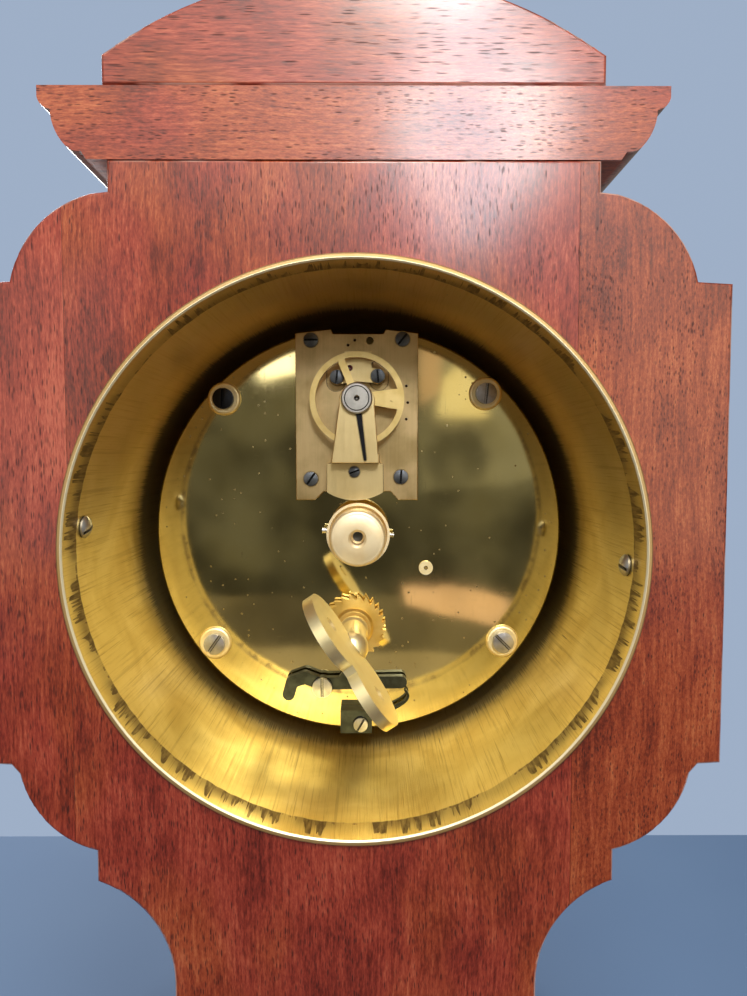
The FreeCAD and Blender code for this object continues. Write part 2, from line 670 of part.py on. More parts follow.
BARREL_PHASE = 0.0
INTER_PINION_PHASE = mesh_phase(BARREL_AT, BARREL_TEETH, BARREL_PHASE, INTER_AT, INTER_LEAVES)
CENTRE_PINION_PHASE = mesh_phase(INTER_AT, INTER_TEETH, 0.0, CENTRE_AT, CENTRE_LEAVES)
THIRD_PINION_PHASE = mesh_phase(CENTRE_AT, CENTRE_TEETH, 0.0, THIRD_AT, THIRD_LEAVES)
FOURTH_PINION_PHASE = mesh_phase(THIRD_AT, THIRD_TEETH, 0.0, FOURTH_AT, FOURTH_LEAVES)
ESCAPE_PINION_PHASE = mesh_phase(FOURTH_AT, FOURTH_TEETH, 0.0, ESCAPE_AT, ESCAPE_LEAVES)


def going_train():
    inter_m = module_of(BARREL_AT, INTER_AT, BARREL_TEETH, INTER_LEAVES)
    centre_m = module_of(INTER_AT, CENTRE_AT, INTER_TEETH, CENTRE_LEAVES)
    pinion = toothed(INTER_AT, INTER_LEAVES, inter_m, LEAF_SHARE, -12.2, -8.5, INTER_PINION_PHASE)
    save("intermediate_wheel",
         wheel(INTER_AT, INTER_TEETH, centre_m, -8.0, -6.9, 0.0, 0.8, 5),
         pivoted(INTER_AT, 0.8, pinion, rear=level(0.3)))
    leaves = toothed(CENTRE_AT, CENTRE_LEAVES, centre_m, LEAF_SHARE, -8.6, -6.3, CENTRE_PINION_PHASE)
    tube = fuse([rod(CENTRE_AT, 1.6, FRONT_OUT - 0.3, level(0.6)), leaves])
    save("centre_wheel",
         wheel(CENTRE_AT, CENTRE_TEETH, CENTRE_MODULE, -5.6, -4.7, 0.0, 1.6, 4),
         tube.cut(rod(CENTRE_AT, 1.0 + FIT, -40, 10)))
    pinion = toothed(THIRD_AT, THIRD_LEAVES, CENTRE_MODULE, LEAF_SHARE, -6.3, -4.0, THIRD_PINION_PHASE)
    save("third_wheel",
         wheel(THIRD_AT, THIRD_TEETH, THIRD_MODULE, -16.0, -15.2, 0.0, 0.7, 4),
         pivoted(THIRD_AT, 0.7, pinion))
    pinion = toothed(FOURTH_AT, FOURTH_LEAVES, THIRD_MODULE, LEAF_SHARE, -17.0, -14.2, FOURTH_PINION_PHASE)
    save("fourth_wheel",
         wheel(FOURTH_AT, FOURTH_TEETH, FOURTH_MODULE, -9.0, -8.3, 0.0, 0.7, 4),
         pivoted(FOURTH_AT, 0.7, pinion))


# ---- hands and motion work ----
def hand_work():
    spindle = rod(CENTRE_AT, 1.0, -39.3, level(11.8)).cut(taper_pin())
    cannon_m = 2 * MOTION_DISTANCE / (CANNON_TEETH + MINUTE_TEETH)
    hour_m = 2 * MOTION_DISTANCE / (MINUTE_LEAVES + HOUR_TEETH)
    cannon = toothed(CENTRE_AT, CANNON_TEETH, cannon_m, LEAF_SHARE, -30.2, -27.4, 0.0)
    pipe = fuse([cannon, rod(CENTRE_AT, 1.55, -38.4, -27.4)])
    save("setting_arbor", spindle, pipe.cut(rod(CENTRE_AT, 1.0, -50, 0)))
    phase = mesh_phase(CENTRE_AT, CANNON_TEETH, 0.0, MINUTE_AT, MINUTE_TEETH)
    minute = wheel(MINUTE_AT, MINUTE_TEETH, cannon_m, -30.0, -29.0, phase, 0.9, 4)
    leaves = toothed(MINUTE_AT, MINUTE_LEAVES, hour_m, LEAF_SHARE, -32.6, -30.0, 0.0)
    hub = ring(MINUTE_AT, 1.5, 0.6 + FIT, -30.0, -27.1)
    leaves = leaves.cut(rod(MINUTE_AT, 0.6 + FIT, -40, 0))
    minute = fuse([minute, hub, leaves]).cut(rod(MINUTE_AT, 0.6 + FIT, -40, 0))
    save("minute_wheel", minute)
    phase = mesh_phase(MINUTE_AT, MINUTE_LEAVES, 0.0, CENTRE_AT, HOUR_TEETH)
    hour = toothed(CENTRE_AT, HOUR_TEETH, hour_m, WHEEL_SHARE, -32.4, -31.2, phase)
    hour = crossed(hour, CENTRE_AT, 3.2, 6.0, 4, 1.2, -32.4, -31.2)
    pipe = rod(CENTRE_AT, 2.4, -37.4, -31.2)
    save("hour_wheel", fuse([hour, pipe]).cut(rod(CENTRE_AT, 1.55 + FIT, -50, 0)))
    save("hour_hand", hand(HOUR_BEARING, 27.0, 5.0, -37.6, -37.0, 2.4, 3.6))
    save("minute_hand", hand(MINUTE_BEARING, 39.5, 8.0, -39.0, -38.45, 1.0, 2.6))


def taper_pin():
    """Pin across the setting arbor that holds the knob on."""
    pin = Part.makeCone(0.42, 0.62, 15.0, point(-7.4, 0.0, level(4.0)), FreeCAD.Vector(1, 0, 0))
    pin.rotate(point(*CENTRE_AT), FreeCAD.Vector(0, 1, 0), -4)
    return pin


def knob():
    collar = turned(CENTRE_AT, [
        (0, level(2.2)), (2.3, level(2.2)), (2.3, level(5.6)), (5.0, level(6.0)), (6.45, level(7.2)),
        (6.45, level(8.5)), (5.95, level(8.5)), (5.95, level(7.6)), (4.9, level(6.9)), (0, level(6.9)),
    ])
    boss = turned(CENTRE_AT, [
        (0, level(6.5)), (4.6, level(6.5)), (5.3, level(8.2)), (5.5, level(9.4)), (5.5, level(15.0)),
        ((5.25, level(15.55)), (4.7, level(15.75))), ((3.2, level(16.0)), (1.8, level(16.05))),
        (1.35, level(15.7)), (0, level(15.7)),
    ])
    body = fuse([collar, boss])
    body = body.cut(rod(CENTRE_AT, 1.35, level(11.8), level(20)))
    body = body.cut(rod(CENTRE_AT, 1.0, level(0), level(12.0)))
    save("set_knob", body.cut(taper_pin()))
    save("knob_pin", taper_pin())


# ---- platform escapement ----
def platform():
    y0, y1 = level(PLATFORM_H[0]), level(PLATFORM_H[1])
    shape = outline([
        (-12.3, 6.9), (-12.3, 41.1), (-5.6, 41.9), (-5.2, 41.0), (5.2, 41.0), (5.6, 41.9), (12.9, 41.1),
        (12.9, 6.9), (8.9, 6.9), (7.2, 8.7), (-6.6, 8.7), (-8.3, 6.9),
    ])
    plate = slab(shape, y0, y1).common(rod((0, 0), PLATE_R - 0.2, y0 - 1, y1 + 1))
    plate = eased(plate, y1, 0.12)
    holes = [(ESCAPE_AT, 0.9), (BALANCE_AT, 0.95), ((-2.4, 39.6), 0.8)]
    holes += [(at, 0.85) for at in PLATFORM_SCREWS]
    holes += [(at, 0.65) for at in (COCK_SCREW,) + ESCAPE_COCK_SCREWS]
    for at, r in holes:
        plate = plate.cut(rod(at, r, y0 - 1, y1 + 1))
    for at in ESCAPE_COCK_SCREWS:
        x = at[0] + math.copysign(0.3, at[0])
        plate = plate.cut(bar((x, at[1] - 0.8), (x, at[1] + 1.6), 2.0, y1 - 0.7, y1 + 1))
    for spot in BANKING_DOTS:
        plate = plate.cut(rod(spot, 0.3, y1 - 0.9, y1 + 1))
    save("platform_plate", plate)
    screws = []
    for at, turn in zip(PLATFORM_SCREWS, (0, 50, 55, 85)):
        screws.append(screw(at, y1, 1.45, 0.85, 0.8, y1 - BACK_IN, turn))
    save("platform_screws", *screws)


def chariot():
    """Lower bearing of the balance, hung under the platform."""
    arm = bar((0.2, 21.6), BALANCE_AT, 1.3, level(0.15), level(0.85))
    foot = rod((0.2, 21.6), 1.3, level(0.15), level(PLATFORM_H[0]))
    return fuse([arm, foot]).cut(rod(BALANCE_AT, 0.55, level(0), level(2)))


def escape_bracket():
    """Bridge inside the back plate for the escape pinion's front pivot."""
    dx, dz = ESCAPE_AT[0] - FOURTH_AT[0], ESCAPE_AT[1] - FOURTH_AT[1]
    span = math.hypot(dx, dz)
    foot = (ESCAPE_AT[0] + dx / span * 4.6, ESCAPE_AT[1] + dz / span * 4.6)
    arm = bar(ESCAPE_AT, foot, 1.4, -12.6, -11.5)
    post = rod(foot, 1.4, -12.6, BACK_IN)
    return fuse([arm, post]).cut(rod(ESCAPE_AT, 0.3 + FIT, -14, -11))


def escape_wheel():
    y0, y1 = level(1.4), level(2.0)
    reach = math.hypot(ESCAPE_AT[0] - BALANCE_AT[0], ESCAPE_AT[1] - BALANCE_AT[1])
    tip = reach - 0.55 - 0.2
    rim = ring(ESCAPE_AT, tip - 1.5, tip - 2.1, y0, y1)
    hub = ring(ESCAPE_AT, 1.1, 0.4, y0, y1)
    parts = [rim, hub]
    for i in range(3):
        angle = 2 * math.pi * i / 3
        parts.append(bar(polar(ESCAPE_AT, 0.9, angle), polar(ESCAPE_AT, tip - 1.8, angle), 0.22, y0, y1))
    step = 2 * math.pi / 15
    for i in range(15):
        angle = step * i
        corners = [polar(ESCAPE_AT, tip - 1.8, angle - 0.05), polar(ESCAPE_AT, tip - 0.55, angle - 0.02),
                   polar(ESCAPE_AT, tip - 0.35, angle - 0.12), polar(ESCAPE_AT, tip, angle + 0.1),
                   polar(ESCAPE_AT, tip - 0.5, angle + 0.1), polar(ESCAPE_AT, tip - 1.8, angle + 0.05)]
        parts.append(slab(outline(corners), y0, y1))
    pinion = toothed(ESCAPE_AT, ESCAPE_LEAVES, FOURTH_MODULE, LEAF_SHARE, -10.6, -7.3, ESCAPE_PINION_PHASE)
    profile = [(0, -12.4), (0.3, -12.4), (0.3, -11.3), (0.4, -11.3), (0.4, level(6.1)), (0.2, level(6.1)),
               (0.2, level(6.9)), (0, level(6.9))]
    save("escape_wheel", fuse(parts), fuse([turned(ESCAPE_AT, profile), pinion]))


def escape_cock():
    y0, y1 = level(6.2), level(7.0)
    body = slab(outline([(-2.75, 31.6), (-2.75, 37.2), (2.75, 37.2), (2.75, 31.6)]), y0, y1)
    ears, feet_parts = [], []
    for at in ESCAPE_COCK_SCREWS:
        ears.append(bar((0, 32.6), at, 1.45, y0, y1))
        feet_parts.append(rod(at, 1.45, level(PLATFORM_H[1] - 0.7), y0))
    shape = fuse([body] + ears + feet_parts)
    shape = shape.cut(rod(ESCAPE_AT, 0.6, y0 - 1, y1 + 1)).cut(rod(BALANCE_AT, 3.6, y0 - 1, y1 + 1))
    for at in ESCAPE_COCK_SCREWS:
        shape = shape.cut(rod(at, 0.65, level(3), level(9)))
    save("escape_cock", shape)


def jewels():
    top = ring(ESCAPE_AT, 0.6, 0.2 + 0.04, level(6.25), level(7.05))
    low = ring(BALANCE_AT, 0.55, 0.14 + 0.04, level(0.2), level(0.85))
    cock = ring(BALANCE_AT, 0.8, 0.14 + 0.04, level(10.0), level(10.75))
    save("jewels", top, low, cock)


def balance():
    y0, y1 = level(BALANCE_H[0]), level(BALANCE_H[1])
    band = ring(BALANCE_AT, BALANCE_R, BALANCE_R - 1.15, y0, y1)
    parts = [band, rod(BALANCE_AT, 1.7, y0, y1)]
    flare = slab(outline([(-1.0, 26.5), (-8.7, 25.2), (-8.7, 29.6), (-1.0, 28.6)]), y0, y1)
    parts.append(flare.common(rod(BALANCE_AT, BALANCE_R - 0.4, y0 - 1, y1 + 1)))
    for angle in (-75, 68):
        parts.append(bar(BALANCE_AT, polar(BALANCE_AT, BALANCE_R - 0.9, math.radians(angle)), 0.75, y0, y1))
    wheel_shape = fuse(parts).cut(rod(BALANCE_AT, 0.5, y0 - 1, y1 + 1))
    pin = rod((-6.8, 27.2), 0.3, y1 - 0.1, y1 + 0.45)
    save("balance_wheel", fuse([wheel_shape, pin]))
    low, high = level(1.25), level(2.35)
    staff = turned(BALANCE_AT, [
        (0, level(0.3)), (0.14, level(0.3)), (0.14, level(0.9)), (0.55, level(0.95)), (0.55, level(5.4)),
        (0.5, level(5.4)), (0.5, level(9.75)), (0.14, level(9.95)), (0.14, level(10.7)), (0, level(10.7)),
    ])
    x, z = BALANCE_AT
    notch = block((x - 2, x + 2), (low, high), (z + 0.05, z + 2))
    save("balance_staff", staff.cut(notch))
    spring_y = (level(9.42), level(9.68))
    save("hairspring", coil(BALANCE_AT, 0.75, SPRING_R, 6.75, 0.09, *spring_y),
         ring(BALANCE_AT, 0.68, 0.5, *spring_y))


def balance_cock():
    foot_y = (level(PLATFORM_H[1]), level(7.0))
    foot = slab(outline([(-5.0, 14.4), (-5.1, 8.6), ((0.6, 6.95), (6.4, 8.6)), (6.3, 14.4)]), *foot_y)
    riser = slab(outline([(-4.2, 14.6), (-4.3, 16.4), (5.1, 16.4), (5.3, 14.6)]), foot_y[0], level(COCK_H[1]))
    heel = slab(outline([(-5.0, 14.0), (-4.2, 14.7), (5.3, 14.7), (6.3, 14.0)]), *foot_y)
    arm_y = (level(COCK_H[0]), level(COCK_H[1]))
    bx, bz = BALANCE_AT
    nose = ((bx, bz + 3.0), (bx + 3.5, bz - 1.2))
    arm = slab(outline([(-4.2, 14.6), (bx - 3.5, bz - 1.2), nose, (5.3, 14.6)]), *arm_y)
    stud_r = 0.3
    stud_at = (BALANCE_AT[0], BALANCE_AT[1] - SPRING_R - FIT - 0.05 - stud_r)
    stud = rod(stud_at, stud_r, level(9.4), arm_y[0] + 0.1)
    shape = fuse([foot, riser, heel, arm, stud])
    shape = eased(shape, arm_y[1], 0.12)
    shape = shape.cut(rod(BALANCE_AT, 0.8, arm_y[0] - 0.1, arm_y[1] + 1))
    save("balance_cock", shape.cut(rod(COCK_SCREW, 0.65, level(0), level(9))))
    screws = [screw(COCK_SCREW, foot_y[1], 1.1, 0.7, 0.6, 3.2, 20)]
    for at, turn in zip(ESCAPE_COCK_SCREWS, (85, 95)):
        screws.append(screw(at, level(7.0), 1.4, 0.75, 0.6, 3.2, turn))
    save("cock_screws", *screws)
    cap = turned(BALANCE_AT, [
        (0, level(COCK_H[1])), (1.1, level(COCK_H[1])), (1.1, level(11.45)), (3.1, level(11.45)),
        (3.1, level(11.85)), (2.85, level(12.05)), (2.5, level(12.05)), (2.4, level(11.9)), (2.3, level(12.05)),
        (0.6, level(12.05)), (0.45, level(11.9)), (0.45, level(10.95)), (0, level(10.95)),
    ])
    save("endpiece_cap", cap)
    reg_y = (level(10.88), level(11.36))
    bearing = math.atan2(15.0 - bz, -1.5 - bx)
    tip = polar(BALANCE_AT, 12.4, bearing)
    side = bearing + math.pi / 2
    root = polar(BALANCE_AT, 1.8, bearing)
    pointer = slab(outline([polar(root, 0.55, side), polar(tip, 0.22, side), polar(tip, -0.22, side),
                            polar(root, -0.55, side)]), *reg_y)
    regulator = fuse([rod(BALANCE_AT, 2.6, *reg_y), pointer])
    save("regulator", regulator.cut(rod(BALANCE_AT, 1.1 + FIT, level(10), level(12))))


def main():
    os.makedirs("parts", exist_ok=True)
    boards()
    carcase()
    cornice()
    pediment()
    base()
    feet()
    drum()
    bezel_and_glass()
    dial()
    movement_ring()
    plates()
    pillars()
    barrel()
    barrel_arbor()
    ratchet()
    key()
    click_work()
    going_train()
    hand_work()
    knob()
    platform()
    posts_and_brackets()
    escape_wheel()
    escape_cock()
    jewels()
    balance()
    balance_cock()


main()
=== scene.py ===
import math

import bmesh
import bpy
from mathutils import Euler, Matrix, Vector


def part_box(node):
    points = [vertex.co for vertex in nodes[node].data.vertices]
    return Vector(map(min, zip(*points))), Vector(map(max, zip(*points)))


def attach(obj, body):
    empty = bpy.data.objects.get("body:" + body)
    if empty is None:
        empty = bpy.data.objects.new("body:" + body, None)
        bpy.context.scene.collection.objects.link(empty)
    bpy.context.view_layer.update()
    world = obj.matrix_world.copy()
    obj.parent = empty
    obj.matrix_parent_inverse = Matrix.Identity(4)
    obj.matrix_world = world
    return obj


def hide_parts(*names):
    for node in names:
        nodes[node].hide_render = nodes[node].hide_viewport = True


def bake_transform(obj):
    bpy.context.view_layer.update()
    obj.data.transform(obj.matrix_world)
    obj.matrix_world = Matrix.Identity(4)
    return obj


# A waisted mahogany mantel clock seen from behind, with its brass drum open on the movement.
# Metres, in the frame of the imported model; lengths inside the materials are millimetres.

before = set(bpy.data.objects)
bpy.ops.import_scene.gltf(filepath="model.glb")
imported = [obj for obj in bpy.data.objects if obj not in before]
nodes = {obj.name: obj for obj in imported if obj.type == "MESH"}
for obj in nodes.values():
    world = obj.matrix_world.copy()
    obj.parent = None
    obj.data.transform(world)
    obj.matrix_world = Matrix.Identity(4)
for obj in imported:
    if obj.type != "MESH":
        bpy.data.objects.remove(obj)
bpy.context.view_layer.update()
MM = 0.001

# ---- places taken from the frame ----
DRUM_LOW, DRUM_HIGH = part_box("drum_liner")
AXIS_Z = (DRUM_LOW.z + DRUM_HIGH.z) / 2
RIM_Y = DRUM_HIGH.y
DRUM_R = (DRUM_HIGH.z - DRUM_LOW.z) / 2
PLATE_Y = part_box("back_plate")[1].y
DIAL_LOW, DIAL_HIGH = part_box("dial")
DIAL_FACE = DIAL_LOW.y
DIAL_R = (DIAL_HIGH.z - DIAL_LOW.z) / 2
TABLE_EDGE = 0.186          # how far past the clock, on the dial's side, the table top ends
CAMERA_AT = Vector((-2.54 * MM, RIM_Y + 119.25 * MM, AXIS_Z + 16.24 * MM))


# ---- node graphs ----
def rgb(red, green, blue):
    return (red, green, blue, 1.0)


class Look:
    """A material: one Principled shader, and the nodes that feed it."""

    def __init__(self, name, color=(0.5, 0.5, 0.5), metallic=0.0, roughness=0.5, **sockets):
        self.material = bpy.data.materials.new(name)
        self.material.use_nodes = True
        self.tree = self.material.node_tree
        self.shader = self.tree.nodes["Principled BSDF"]
        self.set("Base Color", rgb(*color))
        self.set("Metallic", metallic)
        self.set("Roughness", roughness)
        for socket, value in sockets.items():
            self.set(socket.replace("_", " "), value)
        place = self.tree.nodes.new("ShaderNodeTexCoord").outputs["Object"]
        self.place = self.vector("MULTIPLY", place, (1 / MM, 1 / MM, 1 / MM))

    def set(self, socket, value):
        self.feed(self.shader.inputs[socket], value)

    def feed(self, socket, value):
        if isinstance(value, bpy.types.NodeSocket):
            self.tree.links.new(value, socket)
        else:
            socket.default_value = value

    def add(self, kind, sockets, **settings):
        node = self.tree.nodes.new("ShaderNode" + kind)
        for key, value in settings.items():
            setattr(node, key, value)
        for key, value in sockets.items():
            self.feed(node.inputs[key], value)
        return node

    def vector(self, operation, a, b):
        return self.add("VectorMath", {0: a, 1: b}, operation=operation).outputs[0]

    def math(self, operation, a, b=0.0):
        return self.add("Math", {0: a, 1: b}, operation=operation).outputs[0]

    def plus(self, a, b):
        return self.math("ADD", a, b)

    def minus(self, a, b):
        return self.math("SUBTRACT", a, b)

    def times(self, a, b):
        return self.math("MULTIPLY", a, b)

    def larger(self, a, b):
        return self.math("MAXIMUM", a, b)

    def length(self, a, b):
        return self.math("SQRT", self.plus(self.times(a, a), self.times(b, b)))

    def stretched(self, factors, shift=(0.0, 0.0, 0.0), place=None):
        """The place in millimetres, shifted and scaled along each axis."""
        moved = self.vector("ADD", place or self.place, shift)
        return self.vector("MULTIPLY", moved, factors)

    def noise(self, place, detail=2.0, roughness=0.5, distortion=0.0):
        sockets = {"Vector": place, "Scale": 1.0, "Detail": detail, "Roughness": roughness,
                   "Distortion": distortion}
        return self.add("TexNoise", sockets).outputs["Fac"]

    def cells(self, place):
        """Distance from the nearest cell's centre, and a random number per cell."""
        node = self.add("TexVoronoi", {"Vector": place, "Scale": 1.0, "Randomness": 1.0})
        chance = self.add("SeparateXYZ", {"Vector": node.outputs["Color"]}).outputs["X"]
        return node.outputs["Distance"], chance

    def band(self, value, low, high):
        """0 below low, 1 above high, smooth between."""
        sockets = {"Value": value, "From Min": low, "From Max": high}
        return self.add("MapRange", sockets, interpolation_type="SMOOTHSTEP").outputs["Result"]

    def spread(self, value, low, high):
        """A 0 to 1 value as low to high."""
        return self.add("MapRange", {"Value": value, "To Min": low, "To Max": high}).outputs["Result"]

    def mix(self, share, a, b):
        node = self.add("Mix", {0: share, 6: a, 7: b}, data_type="RGBA")
        return node.outputs[2]

    def ramp(self, share, *stops):
        node = self.add("ValToRGB", {"Fac": share})
        elements = node.color_ramp.elements
        while len(elements) < len(stops):
            elements.new(0.5)
        for element, (position, color) in zip(elements, stops):
            element.position = position
            element.color = rgb(*color)
        return node.outputs["Color"]

    def axes(self):
        node = self.add("SeparateXYZ", {"Vector": self.place})
        return node.outputs["X"], node.outputs["Y"], node.outputs["Z"]

    def recess_shade(self, reach_mm, open_side=0.85, shut=0.45):
        """0 in the open, 1 deep in slots and holes: where shade is painted."""
        node = self.add("AmbientOcclusion", {"Distance": reach_mm * MM}, samples=8)
        return self.band(node.outputs["AO"], open_side, shut)

    def bump(self, height, depth_mm, strength=1.0, under=None):
        sockets = {"Height": height, "Distance": depth_mm * MM, "Strength": strength}
        if under is not None:
            sockets["Normal"] = under
        normal = self.add("Bump", sockets).outputs["Normal"]
        self.set("Normal", normal)
        return normal


# ---- wood ----
X_AXIS, Z_AXIS = 0, 2
VARNISH_IOR = 1.38
WOOD_DEPTH = (0.79, 0.52, 0.35)     # how far old polish has darkened and reddened the wood


def along(grain, across, lengthwise):
    """Scale factors that draw a pattern out along one axis."""
    return tuple(lengthwise if axis == grain else across for axis in range(3))


def pores(look, grain, shift, across, length, kept, size=0.40):
    """Dark vessels drawn out along the grain: 0 on plain wood, 1 in a pore."""
    distance, chance = look.cells(look.stretched(along(grain, across, 1 / length), shift))
    drawn = look.band(distance, size, size * 0.4)
    return look.times(drawn, look.band(chance, 1 - kept, 1.04 - kept))


def mahogany(name, grain, shift, tint=(1.0, 1.0, 1.0), pore_length=1.8, warmth=0.0, paint_arris_highlight=True):
    """Polished mahogany. grain is the axis that the fibres follow; warmth turns it from red to orange."""
    look = Look(name, roughness=0.42, IOR=VARNISH_IOR, Coat_Weight=0.9, Coat_Roughness=0.16)
    sway = look.noise(look.stretched(along(grain, 0.05, 0.03), shift), detail=1.0)
    shift_by = look.times(look.minus(sway, 0.5), 4.0)
    offset = look.add("CombineXYZ", {"XYZ"[2 - grain]: shift_by}).outputs[0]
    wavy = look.vector("ADD", look.place, offset)

    def drawn(across, lengthwise, **settings):
        return look.noise(look.stretched(along(grain, across, lengthwise), shift, wavy), **settings)

    patches = drawn(0.075, 0.045, detail=4.0, roughness=0.55)
    bands = drawn(0.40, 0.030, detail=3.0, roughness=0.6)
    streaks = drawn(1.9, 0.13, detail=4.0, roughness=0.75)
    fleck = drawn(3.4, 1.5 / pore_length, detail=2.0, roughness=0.7)
    tone = look.times(patches, 0.32)
    for part, share in ((bands, 0.12), (streaks, 0.32), (fleck, 0.24)):
        tone = look.plus(tone, look.times(part, share))

    def tinted(color):
        return tuple(c * t * d for c, t, d in zip(color, tint, WOOD_DEPTH))

    red = look.ramp(tone, (0.40, tinted((0.150, 0.018, 0.014))), (0.47, tinted((0.340, 0.052, 0.036))),
                    (0.53, tinted((0.520, 0.100, 0.068))), (0.61, tinted((0.740, 0.230, 0.160))))
    orange = look.ramp(tone, (0.40, tinted((0.170, 0.026, 0.010))), (0.47, tinted((0.370, 0.074, 0.028))),
                       (0.53, tinted((0.550, 0.140, 0.056))), (0.61, tinted((0.760, 0.290, 0.140))))
    hue = look.noise(look.stretched(along(grain, 0.055, 0.035), shift), detail=2.0)
    color = look.mix(look.band(hue, 0.64 - warmth, 0.42 - warmth), orange, red)
    small = pores(look, grain, shift, 2.7, pore_length, 0.62, 0.44)
    large = pores(look, grain, shift, 1.7, pore_length * 1.6, 0.20, 0.32)
    crowd = look.band(drawn(0.16, 0.06, detail=2.0), 0.32, 0.62)
    vessels = look.times(small, look.spread(crowd, 0.30, 0.85))
    vessels = look.larger(vessels, look.times(large, 0.9))
    color = look.mix(look.times(vessels, 0.86), color, rgb(*tinted((0.050, 0.009, 0.010))))
    # painted highlight: the rounded rear arris is drawn pale where it would catch the light
    if paint_arris_highlight:
        color = look.mix(arris_highlight(look), color, rgb(0.80, 0.50, 0.40))
    look.set("Base Color", color)
    look.set("Roughness", look.larger(look.spread(streaks, 0.32, 0.50), look.times(vessels, 0.8)))
    look.set("Coat Weight", look.spread(vessels, 0.95, 0.25))
    height = look.minus(look.times(streaks, 0.9), vessels)
    look.bump(height, 0.03, 0.5)
    return look.material


def arris_highlight(look):
    """Above 0 on the rounded edge of the rear face, in patches: the mask of a painted highlight along the
    arris.
    """
    depth = look.axes()[1]
    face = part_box("back_board")[1].y / MM
    edge = look.band(depth, face - 0.60, face - 0.40)
    edge = look.times(edge, look.band(depth, face - 0.01, face - 0.08))
    cloud = look.noise(look.stretched((0.10, 0.10, 0.10), (4.0, 0.0, 8.0)), detail=3.0)
    return look.times(edge, look.times(look.band(cloud, 0.42, 0.60), 0.75))


def boxwood():
    look = Look("boxwood", roughness=0.4, Coat_Weight=0.4, Coat_Roughness=0.2)
    streak = look.noise(look.stretched((2.0, 2.0, 0.1)), detail=4.0)
    look.set("Base Color", look.ramp(streak, (0.3, (0.42, 0.27, 0.10)), (0.7, (0.66, 0.47, 0.21))))
    look.bump(streak, 0.02, 0.4)
    return look.material


# ---- metals ----
RINGS_PER_MM = 5.0          # pitch of the lathe's marks


def around(look):
    """Arc length round the drum's axis, radius and depth, all in millimetres."""
    x, y, z = look.axes()
    rise = look.minus(z, AXIS_Z / MM)
    angle = look.math("ARCTAN2", x, look.times(rise, -1.0))
    return look.times(angle, DRUM_R / MM), look.length(x, rise), y


def drum_brass():
    """Aged brass, brushed along the drum, with the marks of a cover round the mouth, painted shade over its
    upper half and deep in the drum, and a painted highlight on the rim.
    """
    look = Look("drum_brass", metallic=0.82, roughness=0.36)
    arc, radius, depth = around(look)
    inward = look.minus(RIM_Y / MM, depth)
    flat = look.add("CombineXYZ", {"X": arc, "Y": inward}).outputs[0]

    def drawn(across, lengthwise, shift=0.0, **settings):
        return look.noise(look.stretched((across, lengthwise, 1.0), (shift, 0.0, 0.0), flat), **settings)

    brushed = drawn(3.2, 0.045, detail=4.0, roughness=0.7)
    coarse = drawn(0.9, 0.02, 17.0, detail=2.0)
    cloud = drawn(0.07, 0.07, 5.0, detail=4.0, distortion=0.8)
    color = look.ramp(cloud, (0.30, (0.70, 0.510, 0.140)), (0.52, (0.82, 0.640, 0.215)),
                      (0.72, (0.92, 0.750, 0.300)))
    color = look.mix(look.band(brushed, 0.50, 0.74), color, rgb(0.50, 0.335, 0.075))
    groove = look.times(look.band(coarse, 0.60, 0.72), 0.35)
    color = look.mix(groove, color, rgb(0.40, 0.25, 0.05))
    # painted shade: the upper half of the wall is drawn darker and more orange, as if out of the light
    height = look.minus(look.axes()[2], AXIS_Z / MM)
    upper_shade = look.times(look.band(height, -12.0, 40.0), look.spread(cloud, 0.35, 0.95))
    color = look.mix(upper_shade, color, rgb(0.74, 0.40, 0.080))
    scratch = look.times(look.band(drawn(1.6, 0.05, 40.0, detail=1.0), 0.74, 0.78),
                        look.band(drawn(0.2, 0.10, 60.0), 0.55, 0.62))
    # painted shade: the wall is darkened in streaks deep in the drum, where it meets the back plate and no
    # light reaches
    streaked = look.plus(inward, look.spread(brushed, -6.0, 6.0))
    deep_shade = look.times(look.band(streaked, 38.5, 43.0), look.spread(cloud, 0.45, 1.0))
    # dark holds that painted shade together with the real scratches; both are mixed towards near black
    dark = look.larger(look.times(deep_shade, 0.85), look.times(scratch, 0.8))
    color = look.mix(dark, color, rgb(0.10, 0.055, 0.018))
    grime = mouth_marks(look, drawn, inward)
    color = look.mix(look.times(grime, 0.90), color, rgb(0.085, 0.042, 0.014))
    # painted highlight: the rim's face is drawn pale and rough, as if catching the light
    rim_highlight = look.band(inward, 0.34, 0.20)
    outer = look.band(radius, DRUM_R / MM - 0.74, DRUM_R / MM - 0.60)
    dulled = look.times(outer, look.spread(cloud, 0.75, 0.95))
    color = look.mix(rim_highlight, color, rgb(1.0, 0.90, 0.62))
    color = look.mix(dulled, color, rgb(0.46, 0.27, 0.07))
    look.set("Base Color", color)
    rough = look.plus(look.spread(brushed, 0.24, 0.42), look.times(grime, 0.25))
    rough = look.plus(rough, look.times(look.band(inward, 16.0, 34.0), 0.22))
    look.set("Roughness", look.larger(rough, look.times(rim_highlight, 0.50)))
    look.bump(look.plus(brushed, look.times(coarse, 0.6)), 0.035, 0.8)
    return look.material


